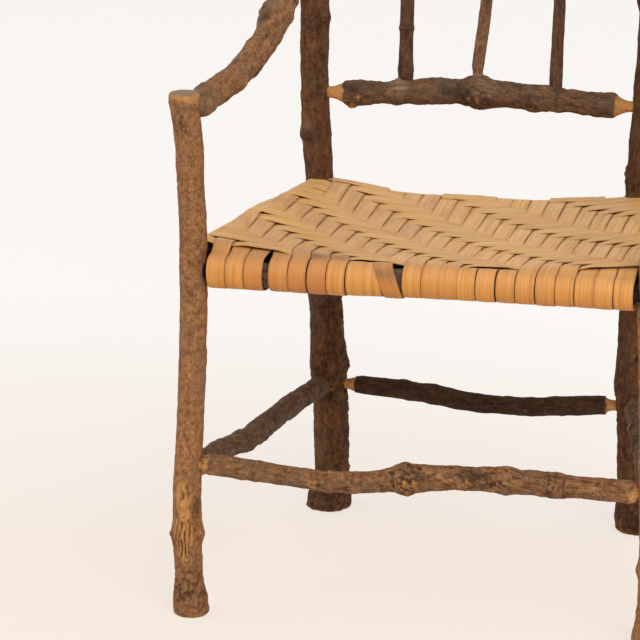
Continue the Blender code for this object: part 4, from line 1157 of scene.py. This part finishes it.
# A stain is its strength, place and reach: the slanted warp's is above the front rail's middle, the
# other warps' behind that rail, and the wefts' along them
slantedWarp = {
    "index": 9, "crownSlip": -0.0080, "lift": 0.0012, "straight": 0.18,
    "stain": (0.9, 0.012, 0.008),
}
stainedWarps = {"indexes": (5, 6), "stain": (0.7, 0.016, 0.014)}
stainedWefts = {"indexes": (0, 1), "stain": (0.6, -0.115, 0.014)}
sunkenWarps = {7: -0.0004, 8: -0.0005}
brownWarps = {2: 0.55, 3: 0.45, 4: 0.6, 5: 0.7, 6: 0.1, 9: 0.6, 11: 0.3, 12: 0.3, 15: 0.4, 17: 0.3}

warpNodes = sorted(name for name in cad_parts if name.startswith("warp_splint"))
weftNodes = sorted(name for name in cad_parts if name.startswith("weft_splint"))
chance = np.random.default_rng(seatLook["seed"])


def splintEdges(nodes, axis):  # the lines between the splints, and their spacing
    spans = [[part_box(node)[end][axis] for end in (0, 1)] for node in nodes]
    pitch = spans[1][0] - spans[0][0]
    spare = pitch - (spans[0][1] - spans[0][0])
    return np.array([*(low - spare / 2 for low, high in spans), spans[-1][1] + spare / 2]), pitch


warpEdges, warpPitch = splintEdges(warpNodes, 0)
weftEdges = splintEdges(weftNodes, 1)[0]
spread = smoothStep(np.arange(len(weftEdges)), weftLook["spreadFrom"], len(weftNodes))
weftEdges = weftEdges + weftLook["rearSpread"] * spread
weftEdges = np.append(weftEdges, weftEdges[-1] + weftLook["tailWidth"])
weftRows = len(weftNodes) + 1


def railOf(node):
    line, radius = traces[node]["line"], traces[node]["radius"]
    middle = slice(len(line) // 4, -len(line) // 4)
    return {
        "line": line, "y": float(line[middle, 1].mean()), "z": float(line[middle, 2].mean()),
        "radius": float(np.median(radius[middle])),
    }


rails = {row: railOf(f"{row}_seat_rail") for row in ("front", "rear", "left", "right")}


def railX(side, y):
    near, far = rails[side]["line"][4], rails[side]["line"][-5]  # inside the tenons
    slope = (far[0] - near[0]) / (far[1] - near[1])
    return near[0] + slope * (y - near[1])


def halfSeat(x, y):  # from the middle of the chair to the side rail that x is nearest to
    return np.where(x > 0, railX("right", y), -railX("left", y))


def depthShare(y):
    return np.clip((y - rails["front"]["y"]) / (rails["rear"]["y"] - rails["front"]["y"]), 0, 1)


def sideZ(y):  # middle of a side rail
    return rails["left"]["z"] - seatLook["sideDrop"] * depthShare(y)


def railFaces(y, way):  # a strip's heights on the cross and side rails, 1 on top, -1 below
    def face(height, row):
        return height + way * rails[row]["radius"] + way * seatLook["railGap"]

    front, rear = (face(rails[row]["z"], row) for row in ("front", "rear"))
    return front + (rear - front) * depthShare(y), face(sideZ(y), "left")


def seatBulge(x, y):
    total = 0 * x + 0 * y
    for middleX, middleY, reachX, reachY, height in seatBulges:
        total = total + height * bell((x - middleX) / reachX) * bell((y - middleY) / reachY)
    return total


def seatHeight(x, y):  # the middle of the weaving on top of the seat
    base, side = railFaces(y, 1)
    share = depthShare(y)
    rise = np.clip(np.abs(x) / halfSeat(x, y), 0, 1) ** seatLook["sideRise"]
    hollow = 4 * share * (1 - share)
    places = np.stack([x / seatLook["waveSize"], y / seatLook["waveSize"], 0 * x + 0 * y], axis=-1)
    waves = seatLook["waveHeight"] * softNoise(places, seatLook["seed"])
    dip = hollow * (waves - seatLook["sag"] * (1 - rise))
    return base + (side - base) * rise + dip + seatBulge(x, y)


def underHeight(x, y):  # the middle of the weaving below
    middle, side = railFaces(y, -1)
    inside = smoothStep(halfSeat(x, y) - np.abs(x), 0.0, seatLook["underBlend"])
    return side + (middle - side) * inside


def seatSlope(x, y, across, back):
    stepX, stepY = across * seatLook["slopeStep"], back * seatLook["slopeStep"]
    rise = seatHeight(x + stepX, y + stepY) - seatHeight(x - stepX, y - stepY)
    return rise / (2 * seatLook["slopeStep"])


def isLong(warp):  # a long warp goes right back to the rear rail
    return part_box(warpNodes[warp])[1].y > rails["rear"]["y"]


def rowsCrossed(warp):
    if isLong(warp):
        return weftRows
    middle = (warpEdges[warp] + warpEdges[warp + 1]) / 2
    side = "left" if middle < 0 else "right"
    rows = sum(abs(railX(side, edge)) > abs(middle) - warpLook["sideGap"] for edge in weftEdges[1:])
    return min(rows, weftRows - warpLook["leastUnder"])


crossed = [rowsCrossed(warp) for warp in range(len(warpNodes))]
print("rows that each warp crosses:", crossed)


def weftOutside(warp, weft, below):  # on the seat's top or, if below, on its underside
    first = warp if below else warp - 1
    return weft >= crossed[warp] or (first + weft) % seatLook["repeat"] < seatLook["over"]


def weaveLevels(places, edges, outside, kind):  # a strip climbs slowly outwards and dives fast
    level = np.zeros(len(places))
    edge, rise = seatLook[kind + "Edge"], seatLook[kind + "Rise"]
    far = np.full(len(places), 1.0)
    start = 0
    while start < len(outside):
        end = start
        while end + 1 < len(outside) and outside[end + 1] == outside[start]:
            end += 1
        fromLow = places - edges[start] if start > 0 else far
        fromHigh = edges[end + 1] - places if end + 1 < len(outside) else far
        near = np.minimum(fromLow, fromHigh)
        if outside[start]:
            shape = (seatLook["top"] - edge) * smoothStep(near, seatLook["riseFrom"], rise)
        else:
            shape = (seatLook["under"] - edge) * smoothStep(near, 0, seatLook["dive"])
        inside = (fromLow >= 0) & (fromHigh > 0)
        level[inside] = edge + shape[inside]
        start = end + 1
    return level


stripLook = {
    "thick": 0.0010, "cup": 0.00025,
    "across": np.array([-1.0, -0.95, -0.72, -0.36, 0.0, 0.36, 0.72, 0.95, 1.0]),
    "edgeRound": np.array([0.35, 0.06, 0.0, 0.0, 0.0, 0.0, 0.0, 0.06, 0.35]),  # of the thickness
    "ragged": 0.00022, "raggedLength": 0.016, "raggedFrom": 0.9,
    "wave": 0.00018, "waveSizes": (0.006, 0.02, 1.0), "seedStep": 0.37,
    "edgeShadeFrom": 0.86, "sharp": 50,
}


def stripMesh(name, spine, sideways, halves, fields, seed):
    shares = stripLook["across"]
    heading = unit(np.gradient(spine, axis=0))
    outward = unit(np.cross(sideways, heading))
    along = runAlong(spine)[:, None]
    across = np.where(shares < 0, halves[0][:, None], halves[1][:, None]) * shares
    ragged = stripLook["ragged"] * lineNoise(along / stripLook["raggedLength"], seed)
    across = across + ragged * np.sign(shares) * (np.abs(shares) > stripLook["raggedFrom"])
    other = 0 * across + seed * stripLook["seedStep"]
    place = np.stack([across, along + 0 * across, other], axis=-1)
    wavy = stripLook["wave"] * softNoise(place / np.array(stripLook["waveSizes"]), seed)
    middle = wavy - stripLook["cup"] * shares ** 2
    thick = stripLook["thick"] * (0.5 - stripLook["edgeRound"])
    flat = spine[:, None, :] + across[..., None] * sideways[:, None, :]
    top = flat + (middle + thick)[..., None] * outward[:, None, :]
    bottom = flat + (middle - thick)[..., None] * outward[:, None, :]
    mesh = ringMesh(name, np.concatenate([top, bottom[:, ::-1]], axis=1), -1)
    sheet = np.zeros((len(spine), 2 * len(shares)))
    addAttribute(mesh, "stripSpace", np.concatenate([place, place[:, ::-1]], axis=1))
    # painted shade: darker towards each strip's rounded edges
    edge = np.abs(np.concatenate([shares, shares[::-1]])) - stripLook["edgeShadeFrom"]
    addAttribute(mesh, "edge", np.clip(edge / (1 - stripLook["edgeShadeFrom"]), 0, 1) + sheet)
    for key, values in fields.items():
        addAttribute(mesh, key, np.clip(values, 0, 1)[:, None] + sheet)
    mesh.set_sharp_from_angle(angle=math.radians(stripLook["sharp"]))
    return mesh


# Splint finishes

splintPalettes = {
    "warpSplint": {
        "dark": (156, 108, 60), "main": (214, 161, 98), "light": (232, 186, 124),
        "honeyDark": (152, 92, 38), "honey": (198, 132, 58), "honeyLight": (216, 156, 80),
        "pink": (190, 138, 94), "brown": (172, 104, 48), "stain": (80, 52, 32),
    },
    "weftSplint": {
        "dark": (158, 112, 62), "main": (212, 164, 98), "light": (230, 188, 126),
        "honeyDark": (158, 104, 48), "honey": (206, 150, 80), "honeyLight": (224, 176, 106),
        "pink": (196, 146, 98), "brown": (176, 120, 66), "stain": (90, 60, 36),
    },
}
splintNoises = {  # size of a bump across, along and from strip to strip, then detail and roughness
    "fibre": ((0.00055, 0.060, 0.2), 4.0, 0.6),
    "streak": ((0.0024, 0.140, 0.2), 3.0, 0.55),
    "cloud": ((0.014, 0.045, 0.2), 4.0, 0.6),
}
splintLook = {
    "fibre": 0.65, "all": 0.606,  # shares of the tone
    "tones": {"dark": 0.25, "main": 0.48, "light": 0.70},
    "honeyTones": {"honeyDark": 0.22, "honey": 0.49, "honeyLight": 0.74},
    "faded": [(0.42, 0.0), (0.68, 0.35)], "spots": [(0.28, 0.35), (0.40, 0.0)],
    "blotches": [(0.25, 1.0), (0.75, 0.35)], "rough": [(0.3, 0.62), (0.7, 0.46)],
    "edgeShade": 0.45, "shine": 0.35, "bump": 0.35, "bumpHeight": 0.0003,
}


def splintFinish(name):
    look = paints(splintPalettes[name])
    finish, tree, shader = newFinish(name)
    space = attributeOf(tree, "stripSpace", "Vector")
    noise = {key: noiseOf(tree, space, *shape) for key, shape in splintNoises.items()}
    tone = mathOf(tree, "MULTIPLY_ADD", noise["fibre"], splintLook["fibre"], noise["streak"])
    tone = mathOf(tree, "MULTIPLY", tone, splintLook["all"])
    plain = toneRamp(tree, tone, look, splintLook["tones"])
    plain = mixOf(tree, attributeOf(tree, "pink"), plain, look["pink"])
    plain = mixOf(tree, rampOf(tree, noise["cloud"], splintLook["faded"]), plain, look["light"])
    honey = toneRamp(tree, tone, look, splintLook["honeyTones"])
    honey = mixOf(tree, attributeOf(tree, "brown"), honey, look["brown"])
    colour = mixOf(tree, attributeOf(tree, "honey"), plain, honey)
    colour = mixOf(tree, rampOf(tree, noise["cloud"], splintLook["spots"]), colour, look["dark"])
    blotches = rampOf(tree, noise["cloud"], splintLook["blotches"])
    stained = mathOf(tree, "MULTIPLY", attributeOf(tree, "stain"), blotches)
    colour = mixOf(tree, stained, colour, look["stain"])
    # painted shade on the strip edges, in the darker honey colour
    worn = mathOf(tree, "MULTIPLY", attributeOf(tree, "edge"), splintLook["edgeShade"])
    colour = mixOf(tree, worn, colour, look["honeyDark"])
    rough = rampOf(tree, noise["streak"], splintLook["rough"])
    finishSurface(tree, shader, colour, rough, noise["fibre"], splintLook)
    return finish


splintFinishes = {name: splintFinish(name) for name in splintPalettes}
print("splint finishes:", len(splintFinishes))

stretches = ("under", "turn", "top", "farTurn", "farUnder")  # of a strip, in order


def joinParts(parts):  # places and heights along the strip, and which are on each stretch
    places, heights = (np.concatenate([part[kind] for part in parts]) for kind in (0, 1))
    numbers = np.concatenate([np.full(len(part[0]), number) for number, part in enumerate(parts)])
    return places, heights, {name: numbers == number for number, name in enumerate(stretches)}


def railTurn(place, height, radius, startTurn):  # half way round a rail, from so many right angles
    turns = np.array([startTurn, startTurn - 2]) * 0.5 * math.pi
    count = max(4, int(abs(turns[1] - turns[0]) * radius / seatLook["topStep"]))
    turns = np.linspace(*turns, count, endpoint=False)
    return place + radius * np.cos(turns), height + radius * np.sin(turns)


def backBelow(rail, end):  # places below the seat from a rail to the strip's end
    return np.linspace(rail, end, int(abs(end - rail) / seatLook["underStep"]) + 1)


def wanderAlong(places, heights, waves, index):
    run = np.concatenate([[0], np.cumsum(np.hypot(np.diff(places), np.diff(heights)))])
    return sum(amount * lineNoise(run / length, index + seed) for amount, length, seed in waves)


def stainAlong(places, stain):
    strength, at, reach = stain
    return strength * bell((places - at) / reach)


def halfWidth(width):
    return (width - seatLook["gap"]) / 2 + float(chance.uniform(*seatLook["halfChance"]))


def warpStrip(index):
    front, rear = rails["front"], rails["rear"]
    middle = (warpEdges[index] + warpEdges[index + 1]) / 2
    slanted, goesBack = index == slantedWarp["index"], isLong(index)
    lift = sunkenWarps.get(index, float(chance.uniform(*warpLook["lift"])))
    if slanted:
        lift = slantedWarp["lift"]
    slim = frontSlim["amount"] * float(smoothStep(middle, frontSlim["from"], frontSlim["to"]))
    reach = front["radius"] + seatLook["railGap"] + lift - slim
    rearReach = rear["radius"] + seatLook["railGap"]
    rearTop = float(seatHeight(np.array(middle), rear["y"])) + seatLook["under"]
    rearTop = max(rearTop, rear["z"] + rearReach)  # higher near the side rails
    crown, bottom = front["z"] + slim + reach, front["z"] + slim - reach
    turnedIn = front["y"] + warpLook["turnIn"]
    middleY = (front["y"] + rear["y"]) / 2
    onTop, outBelow = (
        [not weftOutside(index, row, below) for row in range(weftRows)] for below in (False, True)
    )

    def settled(weave, y, frontZ, rearZ):  # into the weaving, and onto the rear rail
        line = frontZ + (weave - frontZ) * smoothStep(y, front["y"], turnedIn)
        if goesBack:
            line = rearZ + (line - rearZ) * smoothStep(rear["y"] - y, 0.0, warpLook["rearFade"])
        return line

    def topLine(y):
        level = weaveLevels(y, weftEdges, onTop, "warp")
        level = np.where(y > weftEdges[-2], np.maximum(level, warpLook["onRail"]), level)
        return settled(seatHeight(np.full_like(y, middle), y) + level, y, crown, rearTop)

    def underLine(y):
        level = weaveLevels(y, weftEdges, outBelow, "warp")
        weave = underHeight(np.full_like(y, middle), y) - level
        return settled(weave, y, bottom, rear["z"] - rearReach)

    topEnd, underEnd = rear["y"], middleY - seatLook["endGap"]
    if not goesBack:
        topEnd = weftEdges[crossed[index]] + warpLook["tuck"]
        underEnd = topEnd + warpLook["underTuck"]
    underY = np.arange(underEnd, front["y"], -seatLook["underStep"])
    topY = np.arange(front["y"], topEnd, seatLook["topStep"])
    parts = [
        (underY, underLine(underY)), railTurn(front["y"], front["z"] + slim, reach, 3),
        (topY, topLine(topY)),
    ]
    if goesBack:
        turnY, turnZ = railTurn(rear["y"], rear["z"], rearReach, 1)
        upper = smoothStep(turnZ, rear["z"], rear["z"] + rearReach)
        backY = backBelow(rear["y"], middleY + seatLook["endGap"])
        parts.append((turnY, turnZ + (rearTop - rear["z"] - rearReach) * upper))
        parts.append((backY, underLine(backY)))
    y, z, on = joinParts(parts)
    bottomSlip = frontSlip[index] / 1000
    crownSlip = slantedWarp["crownSlip"] if slanted else bottomSlip
    slip = bottomSlip + (crownSlip - bottomSlip) * np.clip((z - bottom) / (crown - bottom), 0, 1)
    if slanted:
        slip = slip + slantedWarp["straight"] * np.maximum(front["y"] - y, 0)
    slip = np.where(on["turn"], slip, np.where(on["top"], crownSlip, bottomSlip))
    slip = slip * fadeOut(y, front["y"], front["y"] + frontSlipFade)
    x = middle + slip + wanderAlong(y, z, warpLook["wander"], index)
    tilt = seatSlope(x, y, 1, 0) * on["top"] * smoothStep(y, front["y"], turnedIn)
    sideways = unit(np.stack([np.ones_like(x), 0 * x, tilt], axis=1))
    half = np.full_like(x, halfWidth(warpPitch))
    half = half + seatLook["underOverlap"] * (on["under"] | on["farUnder"])
    outer = half
    if not goesBack:
        room = halfSeat(x, y) + warpLook["sideReach"] - abs(middle)
        outer = np.clip(room, warpLook["leastHalf"], half)
    elif not (isLong(index - 1) and isLong(index + 1)):
        nearPost = smoothStep(y, weftEdges[-3], weftEdges[-2])
        nearPost = nearPost * smoothStep(rear["y"] - y, 0.0, warpLook["postFade"])
        outer = half + warpLook["besidePost"] * nearPost * on["top"]
    rollHoney = warpLook["rollHoney"] + warpLook["frontHoney"] * smoothStep(crown - z, 0.0, reach)
    topHoney = warpLook["rollHoney"] * fadeOut(y, front["y"], front["y"] + warpLook["honeyTo"])
    honey = np.where(on["turn"], rollHoney, np.where(on["top"], topHoney, warpLook["underHoney"]))
    pink = chance.uniform(*warpLook["pink" if index < warpLook["pinkWarps"] else "palePink"])
    stain = 0 * x
    if slanted:
        stain = stainAlong(z - front["z"], slantedWarp["stain"]) * on["turn"]
    elif index in stainedWarps["indexes"]:
        stain = stainAlong(y - front["y"], stainedWarps["stain"]) * on["top"]
    brown = brownWarps.get(index, warpLook["brown"])
    fields = {"pink": 0 * x + float(pink), "brown": 0 * x + brown, "honey": honey, "stain": stain}
    name = "strip_" + warpNodes[index]
    halves = (outer, half) if middle < 0 else (half, outer)
    mesh = stripMesh(name, np.stack([x, y, z], axis=1), sideways, halves, fields, index + 1)
    placePiece(name, mesh, splintFinishes["warpSplint"], warpNodes[index])


def weftStrip(index):
    isTail = index == len(weftNodes)
    middle = (weftEdges[index] + weftEdges[index + 1]) / 2
    leftX, rightX = float(railX("left", middle)), float(railX("right", middle))
    middleX = (leftX + rightX) / 2
    railMiddle = float(sideZ(middle))
    loose = weftLook["loose"] + float(seatBulge(leftX, middle))
    reach = rails["left"]["radius"] + seatLook["railGap"]
    onTop, outBelow = (
        [weftOutside(warp, index, below) for warp in range(len(warpNodes))]
        for below in (False, True)
    )

    def fromRail(x):
        return np.minimum(x - leftX, rightX - x)

    def topLine(x):
        weave = weaveLevels(x, warpEdges, onTop, "weft")
        weave = weave * smoothStep(fromRail(x), weftLook["weaveFrom"], weftLook["weaveTo"])
        if isTail:
            raised = np.maximum(weave, weftLook["tailTop"])
            weave = np.where(weave > seatLook["weftEdge"], raised, weave)
        slack = weftLook["slack"] * fadeOut(fromRail(x), 0.0, weftLook["slackTo"])
        return seatHeight(x, np.full_like(x, middle)) + weave + slack

    def underLine(x):
        weave = weaveLevels(x, warpEdges, outBelow, "weft")
        weave = weave * smoothStep(fromRail(x), weftLook["underFrom"], weftLook["underTo"])
        return underHeight(x, np.full_like(x, middle)) - weave

    def sideTurn(railPlace, startTurn, top):  # round a side rail, up to the height of the weaving
        turnX, turnZ = railTurn(railPlace, railMiddle, reach, startTurn)
        upper = smoothStep(turnZ, railMiddle - reach, railMiddle + reach)
        return turnX, turnZ + (top - railMiddle - reach) * upper, upper

    topX = np.arange(leftX, rightX, seatLook["topStep"])
    topZ = topLine(topX)
    underLeft = np.arange(middleX - seatLook["endGap"], leftX, -seatLook["underStep"])
    underRight = backBelow(rightX, middleX + seatLook["endGap"])
    turnX, turnZ, upper = sideTurn(leftX, 3, topZ[0])
    turnX = turnX - weftLook["bow"] * loose * upper * (1 - upper)
    x, z, on = joinParts([
        (underLeft, underLine(underLeft)), (turnX, turnZ), (topX, topZ),
        sideTurn(rightX, 1, topZ[-1]), (underRight, underLine(underRight)),
    ])
    y = middle + wanderAlong(x, z, weftLook["wander"], index)
    tilt = seatSlope(x, y, 0, 1) * on["top"]
    step = weftLook["skewStep"]
    skew = (railX("left", middle + step) - railX("left", middle - step)) / (2 * step)
    nearLeft = fadeOut(x - leftX, 0, weftLook["skewTo"]) * ~(on["farTurn"] | on["farUnder"])
    nearRight = fadeOut(rightX - x, 0, weftLook["skewTo"]) * ~(on["under"] | on["turn"])
    sideways = unit(np.stack([skew * (nearRight - nearLeft), -np.ones_like(x), -tilt], axis=1))
    half = np.full_like(x, halfWidth(weftEdges[index + 1] - weftEdges[index]))
    lap = fadeOut(z, railMiddle + weftLook["lapFrom"], railMiddle + weftLook["lapTo"])
    half = half + seatLook["underOverlap"] * lap
    fields = {
        key: 0 * x + float(chance.uniform(*weftLook[key])) for key in ("pink", "brown", "honey")
    }
    stained = index in stainedWefts["indexes"]
    fields["stain"] = stainAlong(x, stainedWefts["stain"]) * on["top"] if stained else 0 * x
    node = weftNodes[-1] if isTail else weftNodes[index]
    name = "strip_" + node + ("_tail" if isTail else "")
    mesh = stripMesh(name, np.stack([x, y, z], axis=1), sideways, (half, half), fields, index + 41)
    placePiece(name, mesh, splintFinishes["weftSplint"], node)


for number in range(len(warpNodes)):
    warpStrip(number)
for number in range(weftRows):
    weftStrip(number)
print("seat woven:", len(warpNodes), "warps,", weftRows, "rows of wefts")


# Floor, light and camera

stageLook = {
    "floorColour": (0.93, 0.895, 0.855, 1.0), "floorRough": 0.8, "floorShine": 0.1,
    "creamGlow": (247, 234, 223), "paleGlow": (255, 252, 249), "glowShare": 0.80,
    "creamTo": 0.0, "paleFrom": 1.1,  # places on the floor, front to back
    "floorSize": 60.0, "floorDrop": 0.0004,
    "skyColour": (0.985, 0.965, 0.945, 1.0), "skyStrength": 0.62,
    "keyPower": 165.0, "keySize": 3.2, "keyPlace": (1.9, -3.6, 3.6),
    "fillPower": 46.0, "fillSize": 3.0, "fillPlace": (-3.6, -1.6, 2.4),
    "aim": (0.0, 0.0, 0.45),
}


def seenDirectly(tree):  # rays from the camera, also by way of a mirror or glass
    path = tree.nodes.new("ShaderNodeLightPath")
    seen = mathOf(tree, "MAXIMUM", path.outputs["Is Camera Ray"], path.outputs["Is Glossy Ray"])
    return mathOf(tree, "MAXIMUM", seen, path.outputs["Is Transmission Ray"])


def mixShaders(tree, share, base, top, output):
    mix = tree.nodes.new("ShaderNodeMixShader")
    for number, socket in enumerate((share, base, top)):
        tree.links.new(socket, mix.inputs[number])
    tree.links.new(mix.outputs[0], output)


def makeFloor():
    half = stageLook["floorSize"] / 2
    corners = [(-half, -half, 0), (half, -half, 0), (half, half, 0), (-half, half, 0)]
    mesh = bpy.data.meshes.new("floor")
    mesh.from_pydata(corners, [], [(0, 1, 2, 3)])
    finish, tree, shader = newFinish("paleFloor")
    shader.inputs["Base Color"].default_value = stageLook["floorColour"]
    shader.inputs["Roughness"].default_value = stageLook["floorRough"]
    shader.inputs["Specular IOR Level"].default_value = stageLook["floorShine"]
    place = tree.nodes.new("ShaderNodeSeparateXYZ")
    tree.links.new(tree.nodes.new("ShaderNodeTexCoord").outputs["Object"], place.inputs[0])
    back = tree.nodes.new("ShaderNodeMapRange")
    back.inputs["From Min"].default_value = stageLook["creamTo"]
    back.inputs["From Max"].default_value = stageLook["paleFrom"]
    tree.links.new(place.outputs["Y"], back.inputs["Value"])
    stops = [(0.0, paint(*stageLook["creamGlow"])), (1.0, paint(*stageLook["paleGlow"]))]
    glow = tree.nodes.new("ShaderNodeEmission")
    glow.inputs["Strength"].default_value = 1.0
    tree.links.new(rampOf(tree, back.outputs["Result"], stops), glow.inputs["Color"])
    share = mathOf(tree, "MULTIPLY", seenDirectly(tree), stageLook["glowShare"])
    output = tree.nodes["Material Output"].inputs["Surface"]
    mixShaders(tree, share, shader.outputs[0], glow.outputs[0], output)
    mesh.materials.append(finish)
    floor = bpy.data.objects.new("floor", mesh)
    floor.location.z = -stageLook["floorDrop"]
    bpy.context.scene.collection.objects.link(floor)


def makeSky():
    world = bpy.data.worlds.new("paleRoom")
    world.use_nodes = True
    tree = world.node_tree
    light, shown = tree.nodes["Background"], tree.nodes.new("ShaderNodeBackground")
    for node, strength in ((light, stageLook["skyStrength"]), (shown, 1.0)):
        node.inputs["Color"].default_value = stageLook["skyColour"]
        node.inputs["Strength"].default_value = strength
    output = tree.nodes["World Output"].inputs["Surface"]
    mixShaders(tree, seenDirectly(tree), light.outputs[0], shown.outputs[0], output)
    bpy.context.scene.world = world


def makeLamp(name):
    lamp = bpy.data.lights.new(name, "AREA")
    lamp.energy = stageLook[name + "Power"]
    lamp.size = stageLook[name + "Size"]
    lampObject = bpy.data.objects.new(name, lamp)
    lampObject.location = stageLook[name + "Place"]
    aim = np.array(stageLook["aim"]) - np.array(stageLook[name + "Place"])
    across = math.hypot(aim[0], aim[1])
    lampObject.rotation_euler = (math.atan2(across, -aim[2]), 0, math.atan2(-aim[0], aim[1]))
    bpy.context.scene.collection.objects.link(lampObject)


cameraLook = {
    "place": (0.7743, -4.0623, 1.5021),
    "pitch": 16.0, "turn": 13.0,        # degrees down, and degrees round to the right
    "focus": 3600.0, "picture": 640.0,  # focal length and picture width, in pixels
    "sensor": 36.0,
}


def makeCamera():
    data = bpy.data.cameras.new("camera")
    data.sensor_width = cameraLook["sensor"]
    data.lens = cameraLook["focus"] / cameraLook["picture"] * cameraLook["sensor"]
    camera = bpy.data.objects.new("camera", data)
    camera.location = cameraLook["place"]
    pitch, turn = math.radians(90 - cameraLook["pitch"]), math.radians(cameraLook["turn"])
    camera.rotation_euler = (pitch, 0, turn)
    bpy.context.scene.collection.objects.link(camera)
    bpy.context.scene.camera = camera


makeFloor()
makeSky()
makeLamp("key")
makeLamp("fill")
makeCamera()
bpy.context.scene.view_settings.view_transform = "Standard"
print("stage, light and camera done")
